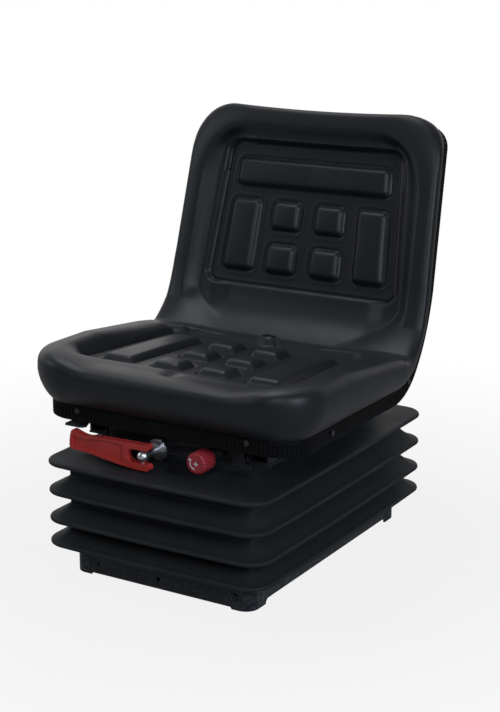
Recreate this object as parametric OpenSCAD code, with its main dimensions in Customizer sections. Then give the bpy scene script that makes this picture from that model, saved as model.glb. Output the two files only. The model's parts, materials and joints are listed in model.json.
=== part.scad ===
// Suspension seat for a small tractor: a steel base tray, a scissor suspension
// inside a rubber bellows, slide rails, and a one-piece seat and backrest.
// X is the width, the seat faces -Y, and Z is up from the floor.

/* [Base tray] */
// Width of the base tray
base_w = 294; // [270:1:300]
// Depth of the base tray
base_d = 434; // [420:1:440]
// Height of the tray's outer skirt
base_h = 44; // [40:1:50]
// Plan radius of the tray's corners
base_corner_r = 20; // [12:1:30]
// Height of the tray's floor above the ground
floor_z = 9; // [6:1:10]
// Thickness of the tray's floor
floor_t = 3; // [2:0.5:4]
// Thickness of the tray's skirt
skirt_t = 2.5; // [2:0.5:4]
// Rise of the arch in the side skirts
side_arch = 7; // [4:1:8]
// Mounting hole spacing across the seat
mount_dx = 160; // [140:1:170]
// Mounting hole spacing front to back
mount_dy = 290; // [230:1:300]
// Diameter of the mounting holes
mount_hole_d = 11; // [8.5:0.5:12]
// Diameter of the pressed feet round the mounting holes
foot_d = 40; // [30:1:44]

/* [Bellows] */
// Width over the folds' tips
bellows_w = 359; // [350:1:366]
// Depth over the folds' tips
bellows_d = 499; // [494:1:505]
// Height of each fold's tip, from the lowest up
fold_tip_z = [47, 81.5, 122.5, 164.5];
// Plan radius of the folds at their tips
fold_tip_r = 36; // [32:1:44]
// Thickness of a fold at its rounded tip
fold_tip_t = 6.4; // [5:0.2:7]
// Drop from a fold's root to its tip
fold_drop = 16; // [12:1:18]
// Rubber thickness
rubber_t = 2.6; // [2:0.2:3]
// Height of the cuff's lower edge on the tray
cuff_z = 30; // [24:1:34]
// Outward bow of the long edges
fold_bow = 2.5; // [0:0.5:4]

/* [Suspension housing] */
// Width over the housing's side walls
housing_w = 250; // [244:1:252]
// Depth over the housing's front and rear walls
housing_d = 350; // [340:1:356]
// Height of the housing's lower edge
housing_z = 172; // [168:1:174]
// Top of the rail wings
wing_z = 195.5; // [190:0.5:198]
// Width of each rail wing beside the centre deck
wing_run = 37; // [35:0.5:40]
// Top of the raised centre deck
deck_z = 212.5; // [208:0.5:216]
// Width of the raised centre deck
deck_w = 220; // [210:1:222]
// Sheet thickness of the housing
sheet_t = 2.5; // [2:0.25:3]

/* [Scissor suspension] */
// Full suspension travel, used for the clearances
travel = 60; // [40:5:60]
// Distance of the rear pivots behind the centre
pivot_y = 140; // [130:1:145]
// Height of the lower pivots
low_pivot_z = 30; // [28:1:32]
// Height of the upper pivots with the seat at its top stop
high_pivot_z = 160; // [156:1:162]
// Horizontal reach from a pivot to its roller
arm_reach = 280; // [270:1:285]
// Thickness of the arm plates
arm_t = 5; // [4:0.5:6]
// Height of the arm plates
arm_h = 24; // [20:1:28]
// Distance of the outer arm plates inside the housing's walls
arm_inset = 29; // [27:0.5:30]
// Gap between the outer and the inner arm plates
arm_gap = 5; // [4:0.5:6]
// Diameter of the shafts
shaft_d = 12; // [10:1:14]
// Diameter of the rollers
roller_d = 20; // [18:1:20]
// Free height in the roller channels
channel_free = 22; // [22:0.5:24]
// Wall of the roller channels and the brackets
channel_t = 2.5; // [2:0.5:3]

/* [Damper and springs] */
// Side offset of the damper
damper_x = 42; // [40:1:48]
// Damper foot's place on the tray floor
damper_foot_y = 110; // [104:1:114]
// Damper top eye's place under the deck
damper_top_y = -110; // [-114:1:-104]
// Height of the damper's top eye
damper_top_z = 165; // [160:1:168]
// Diameter of the damper's tube
damper_d = 30; // [26:1:32]
// Outer diameter of the tension springs
spring_d = 20; // [18:1:21]
// Wire thickness of the tension springs
spring_wire = 3; // [2:0.5:3.5]
// Half spacing of the two tension springs
spring_dx = 20; // [18:1:22]
// Lever arm of the spring horns above their pivot
horn_r = 25; // [22:1:28]

/* [Weight adjuster and knob] */
// Sideways place of the weight spindle
spindle_x = -26; // [-30:1:-22]
// Height of the weight spindle
spindle_z = 190; // [188:0.5:192]
// Distance of the crank's pin in front of the housing
crank_pin_out = 38.5; // [36:0.5:42]
// Length of the crank from its pin to its end
crank_len = 121; // [110:1:124]
// Thickness of the crank
crank_t = 11; // [9:0.5:12]
// Sideways place of the height knob
knob_x = 60; // [56:1:64]
// Height of the height knob
knob_z = 195; // [193:0.5:196]
// Diameter of the height knob
knob_d = 31; // [28:1:32]
// Length of the height knob
knob_len = 30; // [24:1:32]
// Number of flutes round the knob
knob_flutes = 16; // [12:1:20]

/* [Slide rails] */
// Distance of the rails' middle beside the centre deck
rail_out = 21; // [20:0.5:22]
// Width of the lower rails
rail_w = 30; // [28:1:30]
// Length of the rails
rail_len = 300; // [280:5:310]
// Front end of the lower rails
rail_front_y = -172; // [-174:1:-168]
// Sheet thickness of the rails
rail_t = 2.5; // [2:0.25:3]
// Height of the lower rails
rail_h = 14.5; // [14:0.5:16]
// Slide travel each way, which sets how far forward the upper rails reach
slide_travel = 75; // [60:5:75]
// Pitch of the locking slots
slot_pitch = 15; // [12:1:18]
// Front end of the slide lever's paddle
paddle_front_y = -215; // [-220:1:-210]

/* [Seat shell and cushion] */
// Front edge of the seat shell
seat_front_y = -208; // [-212:1:-204]
// Height of the cushion's underside
pan_z = 225; // [224:0.5:227]
// Half width of the shell at the seat
seat_half_w = 204; // [198:1:206]
// Half width of the shell at the top of the backrest
back_half_w = 196; // [188:1:200]
// Corner radius of the shell at the seat's front
seat_corner_r = 48; // [40:1:60]
// Corner radius of the shell at the top of the backrest
top_corner_r = 30; // [26:1:40]
// Length of the flat seat part
seat_run = 284; // [280:1:290]
// Length of the straight backrest part
back_run = 238; // [230:1:242]
// Thickness of the shell
shell_t = 2; // [1.5:0.5:2]
// Bulge of the cushion's roll past the trim at the seat's front
roll_bulge = 23; // [18:1:25]
// Height of the roll's top above the shell at the seat's sides
roll_top = 90; // [84:1:96]
// Dip of the roll in the middle of the seat's front
front_dip = 13; // [8:1:18]
// Height of the trim band
trim_h = 20; // [16:1:22]
// Thickness of the trim band
trim_t = 2.5; // [2:0.5:3]
// Rise of the small pads above the panels
pad_rise = 7; // [4:1:9]

/* [Hidden] */
$fn = 48;

// Clearances: a running fit, a gap between parts that move, a seat between parts that rest
run_fit = 0.05;
gap = 0.3;
roof_gap = 0.6;
wing_w = deck_w + 2 * wing_run;
outer_arm_x = housing_w / 2 - arm_inset;
rail_x = deck_w / 2 + rail_out;
eps = 0.01;

steel_black = "#1d2024";
rubber_black = "#17181a";
vinyl_black = "#141517";
crank_red = "#a8323a";
knob_red = "#b02a3a";
zinc = "#c4c8cc";

// Rounded rectangle centred on the origin
module rounded_rect(w, d, r) {
  square([w - 2 * r, d], center = true);
  square([w, d - 2 * r], center = true);
  for (sx = [-1, 1], sy = [-1, 1])
    translate([sx * (w / 2 - r), sy * (d / 2 - r)]) circle(r);
}

// Cylinder along X, centred on its own middle
module x_rod(r, len) {
  rotate([0, 90, 0]) cylinder(r = r, h = len, center = true);
}

// Cylinder along -Y that starts at the origin
module y_rod(r, len) {
  rotate([90, 0, 0]) cylinder(r = r, h = len);
}

// The same shape on both sides of the seat
module both_sides() {
  children();
  mirror([1, 0, 0]) children();
}

// Pan head screw with a cross recess, its head facing -Y
module front_screw(r, head_t) {
  difference() {
    y_rod(r, head_t);
    for (a = [0, 90])
      translate([0, -head_t, 0]) rotate([0, a, 0]) cube([r * 1.1, 1.6, r * 0.3], center = true);
  }
}

// BASE TRAY

floor_top = floor_z + floor_t;
post_x = outer_arm_x + 12;
post_y = -145;
post_top = 50;
ear_t = 4;
ear_r = 12;
base_ear_x = outer_arm_x + arm_t + 2;
roller_w = 9;

// Channel that holds a roller: its web, and a flange below and above the roller
module roller_channel(web_x, open_dir, z, y_front, y_rear, z_low, z_high) {
  flange_w = roller_w + 1.5 + channel_t;
  x0 = open_dir > 0 ? web_x : web_x - flange_w;
  half = channel_free / 2;
  translate([open_dir > 0 ? web_x : web_x - channel_t, y_front, z_low])
    cube([channel_t, y_rear - y_front, z_high - z_low]);
  translate([x0, y_front, z - half - channel_t]) cube([flange_w, y_rear - y_front, channel_t]);
  translate([x0, y_front, z + half]) cube([flange_w, y_rear - y_front, channel_t]);
}

inner_arm_x = outer_arm_x - arm_gap - arm_t;
arm_rise = high_pivot_z - low_pivot_z;
arm_len = sqrt(arm_reach * arm_reach + arm_rise * arm_rise);
arm_angle = atan2(arm_rise, arm_reach);
roller_y = pivot_y - arm_reach;
roller_y_low = pivot_y - sqrt(arm_len * arm_len - (arm_rise - travel) * (arm_rise - travel));
channel_front = roller_y_low - roller_d / 2;
channel_rear = roller_y + roller_d / 2 + 12;
low_channel_x = inner_arm_x - 1 - roller_w - 1.5 - channel_t;

// Ear with a bore for a shaft along X, reaching from the shaft to z_foot
module shaft_ear(x, y, z, z_foot, bore_r) {
  difference() {
    union() {
      translate([x + ear_t / 2, y, z]) x_rod(ear_r, ear_t);
      translate([x, y - ear_r, min(z, z_foot)]) cube([ear_t, 2 * ear_r, abs(z_foot - z)]);
    }
    translate([x + ear_t / 2, y, z]) x_rod(bore_r, ear_t + 1);
  }
}

module base_skirt() {
  notch = base_d / 2 - 46;
  front_notch = base_w / 2 - 34;
  difference() {
    linear_extrude(base_h) difference() {
      rounded_rect(base_w, base_d, base_corner_r);
      rounded_rect(base_w - 2 * skirt_t, base_d - 2 * skirt_t, base_corner_r - skirt_t);
    }
    // arches between the feet, with round ends
    translate([0, 0, side_arch - base_h / 2]) cube([base_w + 2, 2 * notch, base_h], center = true);
    for (s = [-1, 1])
      translate([0, s * notch, 0]) x_rod(side_arch, base_w + 2);
    translate([0, 0, 3 - base_h / 2]) cube([2 * front_notch, base_d + 2, base_h], center = true);
    for (s = [-1, 1])
      translate([s * front_notch, 0, 0]) rotate([90, 0, 0]) cylinder(r = 3, h = base_d + 2, center = true);
    // drain hole and lashing hole in the front skirt
    translate([-2, -base_d / 2 + 4, 17]) y_rod(3.2, 8);
    translate([-103, -base_d / 2 + 4, 17]) y_rod(2, 8);
    // fold seams where the front skirt laps the side skirts
    for (s = [-1, 1])
      translate([s * (base_w / 2 - 0.4), -base_d / 2 + base_corner_r + 4, 0])
        cube([1.2, 1.2, 2 * base_h - 12], center = true);
  }
}

module base_tray() {
  color(steel_black) {
    difference() {
      union() {
        base_skirt();
        translate([0, 0, floor_z]) linear_extrude(floor_t)
          rounded_rect(base_w - 2 * skirt_t + eps, base_d - 2 * skirt_t + eps, base_corner_r - skirt_t);
        for (sx = [-1, 1], sy = [-1, 1])
          translate([sx * mount_dx / 2, sy * mount_dy / 2, 0]) cylinder(d = foot_d, h = floor_z + eps);
      }
      for (sx = [-1, 1], sy = [-1, 1])
        translate([sx * mount_dx / 2, sy * mount_dy / 2, -1])
          cylinder(d = mount_hole_d, h = floor_top + 2);
    }
    both_sides() {
      shaft_ear(base_ear_x, pivot_y, low_pivot_z, floor_top - eps, shaft_d / 2 + run_fit);
      roller_channel(low_channel_x, 1, low_pivot_z, channel_front, channel_rear,
                     floor_top - eps, low_pivot_z + channel_free / 2 + channel_t);
      translate([post_x, post_y, floor_top - eps]) cylinder(r = 11, h = post_top - floor_top);
    }
    for (s = [-1, 1])
      shaft_ear(damper_x + s * 12 - ear_t / 2, damper_foot_y, low_pivot_z, floor_top - eps, 5 + run_fit);
  }
}

// Round-headed screws in the tray's skirt
module base_screws() {
  color(steel_black) {
    translate([121, -base_d / 2, 18]) front_screw(5, 2.4);
    for (s = [-1, 1], y = [-150, 150])
      translate([s * base_w / 2, y, 20]) rotate([0, 0, s * 90]) front_screw(4, 2);
  }
}

module base_pivot_shaft() {
  color(zinc) {
    translate([0, pivot_y, low_pivot_z]) x_rod(shaft_d / 2, 2 * (base_ear_x + ear_t + 2));
    both_sides()
      translate([base_ear_x + ear_t + 1.5 + gap, pivot_y, low_pivot_z]) x_rod(shaft_d / 2 + 3, 2.4);
    translate([damper_x, damper_foot_y, low_pivot_z]) x_rod(5, 24 + ear_t + 4);
  }
}

module bump_stops() {
  stop_top = high_pivot_z - channel_free / 2 - channel_t - travel - 4 * gap;
  color(rubber_black) both_sides()
    translate([post_x, post_y, post_top + eps]) rotate_extrude()
      polygon([[0, 0], [13, 0], [13, 6], [10, 12], [12, 20], [9, stop_top - post_top - 4],
               [5, stop_top - post_top], [0, stop_top - post_top]]);
}

// BELLOWS

fold_depth = (bellows_w - base_w) / 2 - rubber_t - gap;
root_x = base_w / 2 + gap + rubber_t;
root_y = base_d / 2 + gap + rubber_t;
root_r = fold_tip_r - fold_depth;
tip_y_extra = bellows_d / 2 - root_y - fold_depth;
corner_steps = 5;
bow_points = [-0.66, -0.33, 0, 0.33, 0.66];

// Corner arc of an outline, from angle a0
function corner_arc(cx, cy, r, a0) =
  [for (i = [0:corner_steps]) let (a = a0 + 90 * i / corner_steps) [cx + r * cos(a), cy + r * sin(a)]];

// Closed outline with round corners whose straight edges bow out a little
function bowed_outline(hx, hy, r, bow) = concat(
  corner_arc(hx - r, hy - r, r, 0),
  [for (t = bow_points) [-t * (hx - r), hy + bow * (1 - t * t)]],
  corner_arc(-hx + r, hy - r, r, 90),
  [for (t = bow_points) [-hx - bow * (1 - t * t), -t * (hy - r)]],
  corner_arc(-hx + r, -hy + r, r, 180),
  [for (t = bow_points) [t * (hx - r), -hy - bow * (1 - t * t)]],
  corner_arc(hx - r, -hy + r, r, 270),
  [for (t = bow_points) [hx + bow * (1 - t * t), t * (hy - r)]]);

// One ring of the bellows: how far it stands out from the root, and its height
function bellows_ring(out, z) =
  let (share = out / fold_depth,
       hx = root_x + out,
       hy = root_y + out + tip_y_extra * max(0, share))
  [for (p = bowed_outline(hx, hy, max(2, root_r + out), fold_bow * max(0, share))) [p[0], p[1], z]];

// Outer side of one fold, from its lower root over its tip to its upper root
function fold_outside(zt) =
  let (r = fold_tip_t / 2)
  [[0, zt - 5], [fold_depth - r, zt - r], [fold_depth - 0.3 * r, zt - 0.7 * r], [fold_depth, zt],
   [fold_depth - 0.3 * r, zt + 0.7 * r], [fold_depth - r, zt + r],
   [fold_depth * 0.5, zt + r + fold_drop * 0.36], [0, zt + r + fold_drop]];

// Inner side of one fold, a rubber thickness inside the outer one
function fold_inside(zt) =
  let (r = fold_tip_t / 2)
  [[-rubber_t, zt - 5 + rubber_t], [fold_depth - 2 * r - 1, zt - 0.5],
   [fold_depth - 2 * r - 1, zt + 0.5], [-rubber_t, zt + r + fold_drop - rubber_t]];

// The top fold runs on up to the housing's walls
roof_x = housing_w / 2 + roof_gap;
roof_y = housing_d / 2 + roof_gap;
roof_z = housing_z + 1.4;
function roof_ring(share, z) =
  let (tip_hx = bellows_w / 2 - fold_tip_t / 2,
       tip_hy = bellows_d / 2 - fold_tip_t / 2,
       hx = tip_hx + (roof_x - tip_hx) * share,
       hy = tip_hy + (roof_y - tip_hy) * share,
       r = (fold_tip_r - 2) * (1 - share) + share)
  [for (p = bowed_outline(hx, hy, r, fold_bow * (1 - share))) [p[0], p[1], z]];

module bellows() {
  top = fold_tip_z[len(fold_tip_z) - 1];
  lower = [for (i = [0:len(fold_tip_z) - 2]) fold_tip_z[i]];
  tip_r = fold_tip_t / 2;
  roof_rise = roof_z - top - tip_r;
  outer = concat([[0, cuff_z]],
                 [for (zt = lower) each fold_outside(zt)],
                 [for (i = [0:4]) fold_outside(top)[i]]);
  inner = concat([[-rubber_t, cuff_z]],
                 [for (zt = lower) each fold_inside(zt)],
                 [for (i = [0:2]) fold_inside(top)[i]]);
  rings = concat(
    [for (p = outer) bellows_ring(p[0], p[1])],
    [for (s = [0, 0.3, 0.65, 1]) roof_ring(s, top + tip_r + roof_rise * s * s * s)],
    [for (s = [1, 0.65, 0.3]) roof_ring(s, top + tip_r - rubber_t + roof_rise * s * s * s)],
    [for (i = [len(inner) - 1:-1:0]) bellows_ring(inner[i][0], inner[i][1])]);
  n = len(rings[0]);
  m = len(rings);
  color(rubber_black) polyhedron(
    points = [for (ring = rings) each ring],
    faces = [for (k = [0:m - 1], i = [0:n - 1])
      let (k2 = (k + 1) % m, i2 = (i + 1) % n)
      each [[k * n + i, k2 * n + i, k2 * n + i2], [k * n + i, k2 * n + i2, k * n + i2]]]);
}

// SCISSOR ARMS

// One arm plate from its pivot to its roller, bored at the pivot, the middle and the roller
module arm_plate(x, pivot, down, pivot_r, middle_r, roller_r) {
  translate([x, pivot[0], pivot[1]]) rotate([down ? arm_angle : -arm_angle, 0, 0])
    difference() {
      union() {
        translate([0, -arm_len, -arm_h / 2]) cube([arm_t, arm_len, arm_h]);
        for (y = [0, -arm_len]) translate([arm_t / 2, y, 0]) x_rod(arm_h / 2, arm_t);
        translate([arm_t / 2, -arm_len / 2, 0]) x_rod(arm_h / 2 + 4, arm_t);
      }
      translate([arm_t / 2, 0, 0]) x_rod(pivot_r, arm_t + 1);
      translate([arm_t / 2, -arm_len / 2, 0]) x_rod(middle_r, arm_t + 1);
      translate([arm_t / 2, -arm_len, 0]) x_rod(roller_r, arm_t + 1);
      // lightening slots
      for (y = [-arm_len * 0.27, -arm_len * 0.73]) translate([arm_t / 2, y, 0]) {
        cube([arm_t + 1, 44, 8], center = true);
        for (s = [-1, 1]) translate([0, s * 22, 0]) x_rod(4, arm_t + 1);
      }
    }
}

pin_r = 6;
press_gap = 0.02;
open_pivot_clearance = 0.95;
axle_r = 5;
axle_half = outer_arm_x + arm_t + 1 + roller_w + 1;
inner_axle_half = inner_arm_x - 1 - roller_w - 1;

module outer_arms() {
  color(steel_black) {
    both_sides()
      arm_plate(outer_arm_x, [pivot_y, low_pivot_z], false,
                shaft_d / 2 + run_fit, pin_r + press_gap, axle_r);
    translate([0, roller_y, high_pivot_z]) x_rod(axle_r, 2 * axle_half);
  }
}

module outer_arm_rollers() {
  color("#d8d8d2") both_sides()
    translate([outer_arm_x + arm_t + 1 + roller_w / 2, roller_y, high_pivot_z]) difference() {
      x_rod(roller_d / 2, roller_w);
      x_rod(axle_r + run_fit, roller_w + 1);
    }
}

// Pins through the crossing, held by the outer arms, loose in the inner ones
module scissor_pins() {
  mid_y = pivot_y - arm_reach / 2;
  mid_z = (low_pivot_z + high_pivot_z) / 2;
  inside = inner_arm_x - 0.6;
  color(zinc) both_sides() translate([0, mid_y, mid_z]) {
    translate([(inside + outer_arm_x + arm_t) / 2, 0, 0]) x_rod(pin_r, outer_arm_x + arm_t - inside);
    translate([inside - 1.5, 0, 0]) x_rod(pin_r + 3, 3);
    translate([outer_arm_x + arm_t + 1.5, 0, 0]) x_rod(pin_r + 3, 3);
  }
}

tube_r = shaft_d / 2 + 4;

module inner_arms() {
  color(steel_black) {
    both_sides()
      arm_plate(inner_arm_x, [pivot_y, high_pivot_z], true, tube_r + press_gap,
                pin_r + open_pivot_clearance, axle_r);
    both_sides()
      translate([(inner_axle_half + inner_arm_x + arm_t + 2) / 2, roller_y, low_pivot_z])
        x_rod(axle_r, inner_arm_x + arm_t + 2 - inner_axle_half);
  }
}

module inner_arm_rollers() {
  color("#d8d8d2") both_sides()
    translate([inner_arm_x - 1 - roller_w / 2, roller_y, low_pivot_z]) difference() {
      x_rod(roller_d / 2, roller_w);
      x_rod(axle_r + run_fit, roller_w + 1);
    }
}

spring_x = [spindle_x - spring_dx, spindle_x + spring_dx];
horn_z = high_pivot_z + horn_r;

// Tube on the rear shaft with a horn for each spring
module inner_arm_tube() {
  color(steel_black) difference() {
    union() {
      translate([0, pivot_y, high_pivot_z]) x_rod(tube_r, 2 * (inner_arm_x + arm_t));
      for (x = spring_x) {
        translate([x - 2, pivot_y - 8, high_pivot_z]) cube([4, 16, horn_r]);
        translate([x, pivot_y, horn_z]) x_rod(8, 4);
      }
    }
    translate([0, pivot_y, high_pivot_z])
      x_rod(shaft_d / 2 + run_fit, 2 * (inner_arm_x + arm_t) + 2);
    for (x = spring_x) translate([x, pivot_y, horn_z]) x_rod(2.6, 5);
  }
}

// DAMPER

damper_dy = damper_top_y - damper_foot_y;
damper_dz = damper_top_z - low_pivot_z;
damper_len = sqrt(damper_dy * damper_dy + damper_dz * damper_dz);
damper_tilt = atan2(damper_dz, -damper_dy);
damper_tube_len = damper_len * 0.62;
damper_rod_d = 10;
eye_r = 10;
damper_pin_r = 5;
damper_eye_clearance = 3;

// Places children with +Y running back down the damper from its foot to its top
module along_damper() {
  translate([damper_x, damper_foot_y, low_pivot_z]) rotate([-damper_tilt, 0, 0]) children();
}

module damper_tube() {
  color(steel_black) along_damper() difference() {
    union() {
      x_rod(eye_r, 16);
      y_rod(7, 18);
      translate([0, -16, 0]) y_rod(damper_d / 2, damper_tube_len - 16);
    }
    x_rod(damper_pin_r + run_fit, 17);
    translate([0, -30, 0]) y_rod(damper_rod_d / 2 + run_fit, damper_tube_len);
    translate([0, -30, 0]) y_rod(damper_d / 2 - 3, damper_tube_len - 40);
  }
}

module damper_rod() {
  piston_y = damper_tube_len - 30;
  color(zinc) along_damper() difference() {
    union() {
      translate([0, -piston_y + 8, 0]) y_rod(damper_rod_d / 2, damper_len - piston_y - 2);
      translate([0, -piston_y + 8, 0]) y_rod(damper_d / 2 - 3 - gap, 8);
      translate([0, -damper_len, 0]) x_rod(eye_r + 2, 14);
    }
    translate([0, -damper_len, 0]) x_rod(damper_pin_r + damper_eye_clearance, 15);
  }
}

// TENSION SPRINGS

yoke_y = -92;
yoke_t = 14;
spring_front = yoke_y + yoke_t / 2 + 8;
spring_rear = pivot_y - 12;

// Close-wound spring drawn as a scalloped tube, with an eye rod at each end
module tension_springs() {
  turns = floor((spring_rear - spring_front) / spring_wire);
  wire_r = spring_wire / 2;
  steps = 4;
  color("#3a3d40") for (x = spring_x) translate([x, spring_rear, horn_z]) {
    y_turn = (spring_rear - spring_front) / turns;
    rotate([90, 0, 0]) rotate_extrude($fn = 32) polygon(concat(
      [[spring_d / 2 - spring_wire, 0]],
      [for (i = [0:turns - 1], k = [0:steps - 1])
        [spring_d / 2 - wire_r * (1 - sin(180 * k / steps)), y_turn * (i + k / steps)]],
      [[spring_d / 2 - wire_r, y_turn * turns], [spring_d / 2 - spring_wire, y_turn * turns]]));
    y_rod(spring_d / 2 - spring_wire + eps, 3);
    translate([0, -(spring_rear - spring_front) + 3, 0]) y_rod(spring_d / 2 - spring_wire + eps, 3);
  }
}

// UPPER HOUSING

wall_x = housing_w / 2;
housing_front = -housing_d / 2;
housing_rear = housing_d / 2;
wing_low = wing_z - sheet_t;
deck_low = deck_z - sheet_t;
upper_ear_x = inner_arm_x + arm_t + 1;

// Cross-section of the housing seen from the front
module housing_section() {
  translate([-deck_w / 2, deck_low]) square([deck_w, sheet_t]);
  for (s = [-1, 1]) scale([s, 1]) {
    translate([deck_w / 2 - sheet_t, wing_low]) square([sheet_t, deck_z - wing_low]);
    translate([deck_w / 2 - sheet_t, wing_low]) square([(wing_w - deck_w) / 2 + sheet_t, sheet_t]);
    translate([wall_x - sheet_t, housing_z]) square([sheet_t, wing_z - housing_z]);
  }
}

// Filled outline of the housing, for its end walls
module housing_end() {
  translate([-deck_w / 2, housing_z]) square([deck_w, deck_z - housing_z]);
  translate([-wall_x, housing_z]) square([housing_w, wing_z - housing_z]);
}

rail_bolt_y = [rail_front_y + 45, rail_front_y + rail_len - 45];

module upper_housing() {
  color(steel_black) {
    difference() {
      union() {
        translate([0, housing_rear, 0]) rotate([90, 0, 0])
          linear_extrude(housing_d - sheet_t) housing_section();
        translate([0, housing_rear, 0]) rotate([90, 0, 0]) linear_extrude(sheet_t) housing_end();
      }
      for (s = [-1, 1], y = rail_bolt_y)
        translate([s * rail_x, y, wing_low - 1]) cylinder(r = 3 + run_fit, h = sheet_t + 2);
      // access holes in the deck
      for (y = [-40, 60]) translate([damper_x + 10, y, deck_low - 1]) cylinder(r = 16, h = sheet_t + 2);
    }
    both_sides()
      shaft_ear(upper_ear_x, pivot_y, high_pivot_z, deck_low + eps, shaft_d / 2 + run_fit);
  }
}

module damper_bracket() {
  color(steel_black) for (s = [-1, 1])
    shaft_ear(damper_x + s * 12 - ear_t / 2, damper_top_y, damper_top_z, deck_low, damper_pin_r + eps);
  color(zinc) translate([damper_x, damper_top_y, damper_top_z]) x_rod(damper_pin_r, 24 + ear_t + 4);
}

// Front panel with its low wide part, narrow top and the two control bores
module front_panel() {
  taper = 3.5;
  color(steel_black) difference() {
    translate([0, housing_front + sheet_t, 0]) rotate([90, 0, 0]) linear_extrude(sheet_t)
      polygon([[-wall_x, housing_z], [wall_x, housing_z], [wall_x - taper, wing_low - gap],
               [deck_w / 2 + 2, wing_low - gap], [deck_w / 2, deck_z],
               [-deck_w / 2, deck_z], [-deck_w / 2 - 2, wing_low - gap], [-wall_x + taper, wing_low - gap]]);
    translate([spindle_x, housing_front + 5, spindle_z]) y_rod(spindle_r + run_fit, 8);
    translate([knob_x, housing_front + 5, knob_z]) y_rod(knob_shaft_r + run_fit, 8);
  }
}

// Screws that hold the front panel
module panel_screws() {
  color(zinc) for (s = [-1, 1])
    translate([s * 87, housing_front, 191]) front_screw(4.6, 3);
}

module upper_pivot_shaft() {
  half = upper_ear_x + ear_t + 2;
  color(zinc) {
    translate([0, pivot_y, high_pivot_z]) x_rod(shaft_d / 2, 2 * half);
    both_sides() translate([upper_ear_x + ear_t + 1.5 + gap, pivot_y, high_pivot_z])
      x_rod(shaft_d / 2 + 1.5, 2.4);
  }
}

// Channels under the wings that the outer arms' rollers run in
module upper_channels() {
  web = outer_arm_x + arm_t + 1 + roller_w + 1.5 + channel_t;
  color(steel_black) both_sides()
    roller_channel(web, -1, high_pivot_z, channel_front, channel_rear,
                   high_pivot_z - channel_free / 2 - channel_t, wing_low);
}

// WEIGHT SPINDLE AND CRANK

spindle_r = 6;
thread_r = 5;
pin_y = housing_front - crank_pin_out;
ball_r = 8.5;
cross_pin_r = 2.5;

module weight_spindle() {
  color(zinc) translate([spindle_x, 0, spindle_z]) difference() {
    union() {
      // ribbed flange and hub in front of the panel
      translate([0, housing_front - gap, 0]) y_rod(14.6, 4.5);
      for (i = [0:15]) rotate([0, i * 22.5, 0])
        translate([14.2, housing_front - gap, 0]) y_rod(1.9, 4.5);
      translate([0, housing_front - gap, 0]) y_rod(10.5, 10);
      translate([0, housing_front - 5, 0]) y_rod(5.2, crank_pin_out - 8);
      translate([0, pin_y + 6, 0]) y_rod(7, 3);
      translate([0, pin_y, 0]) sphere(ball_r);
      // threaded rod behind the panel
      translate([0, housing_front + 12, 0]) y_rod(spindle_r, 20);
      translate([0, yoke_y + 30, 0]) y_rod(thread_r, 30 + yoke_y - housing_front - 8);
    }
    translate([0, pin_y, 0]) cylinder(r = cross_pin_r + run_fit, h = 30, center = true);
  }
}

// Points of a smooth curve through four control points
function bezier(a, b, c, d, n) =
  [for (i = [0:n]) let (t = i / n, u = 1 - t)
    u * u * u * a + 3 * u * u * t * b + 3 * u * t * t * c + t * t * t * d];

// Crank outline seen from the front, with its pin at the origin
prong_out = 12.5;
slot_half = 9.5;
function arc_points(cx, cy, r, a0, a1, n) =
  [for (i = [0:n]) let (a = a0 + (a1 - a0) * i / n) [cx + r * cos(a), cy + r * sin(a)]];

crank_outline = concat(
  bezier([-crank_len + 8, 19.5], [-crank_len + 22, 15], [-crank_len + 26, 13], [-84, 15], 6),
  bezier([-60, 17.2], [-40, 18.5], [-20, 17], [4, 18.2], 4),
  arc_points(prong_out - 4.4, 13.9, 4.4, 90, -85, 5),
  [[prong_out - 6, slot_half]],
  arc_points(-14, 0, slot_half, 90, 270, 8),
  [[prong_out - 6, -slot_half]],
  arc_points(prong_out - 5, -14.6, 5, 80, -95, 5),
  bezier([-8, -19.4], [-26, -18.4], [-44, -16], [-62, -13.5], 4),
  bezier([-80, -10.5], [-95, -8.5], [-108, -8.5], [-crank_len + 5, -8], 4),
  arc_points(-crank_len + 5, -3, 5, -100, -180, 3),
  bezier([-crank_len, 2], [-crank_len + 0.5, 10], [-crank_len + 3, 19], [-crank_len + 5, 20], 3));

// Folding crank: a tapered plate with a thumb hollow, a raised border and a forked end
module crank_lever() {
  color(crank_red) translate([spindle_x, pin_y, spindle_z]) difference() {
    translate([0, crank_t / 2, 0]) rotate([90, 0, 0]) linear_extrude(crank_t)
      polygon(crank_outline);
    // field inside the raised border, on both faces
    for (s = [-1, 1]) translate([0, s * (crank_t / 2 - 0.4) , 0]) rotate([90, 0, 0])
      linear_extrude(1.2, center = true)
        polygon([[-crank_len + 6, -3], [-crank_len + 7, 10], [-94, 9], [-84, 11], [-38, 13],
                 [-30, 11], [-29, -11], [-44, -12], [-64, -9], [-84, -4.5]]);
    cylinder(r = cross_pin_r + 0.02, h = 60, center = true);
  }
}

module crank_pin() {
  color(zinc) translate([spindle_x, pin_y, spindle_z - 18.8])
    cylinder(r = cross_pin_r, h = 36.6);
}

// Cross bar that the spindle pulls and the springs hook on
module spring_yoke() {
  color(steel_black) difference() {
    union() {
      translate([spindle_x, yoke_y, spindle_z - 2])
        cube([2 * spring_dx + spring_d, yoke_t, 16], center = true);
      for (x = spring_x)
        translate([x, spring_front - gap, horn_z]) y_rod(4, 8 - gap + eps);
    }
    translate([spindle_x, yoke_y + yoke_t, spindle_z]) y_rod(thread_r + run_fit, 2 * yoke_t);
  }
}

// HEIGHT KNOB

knob_shaft_r = 5;
knob_gap = 12;
knob_front = housing_front - knob_gap - knob_len;

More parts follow.
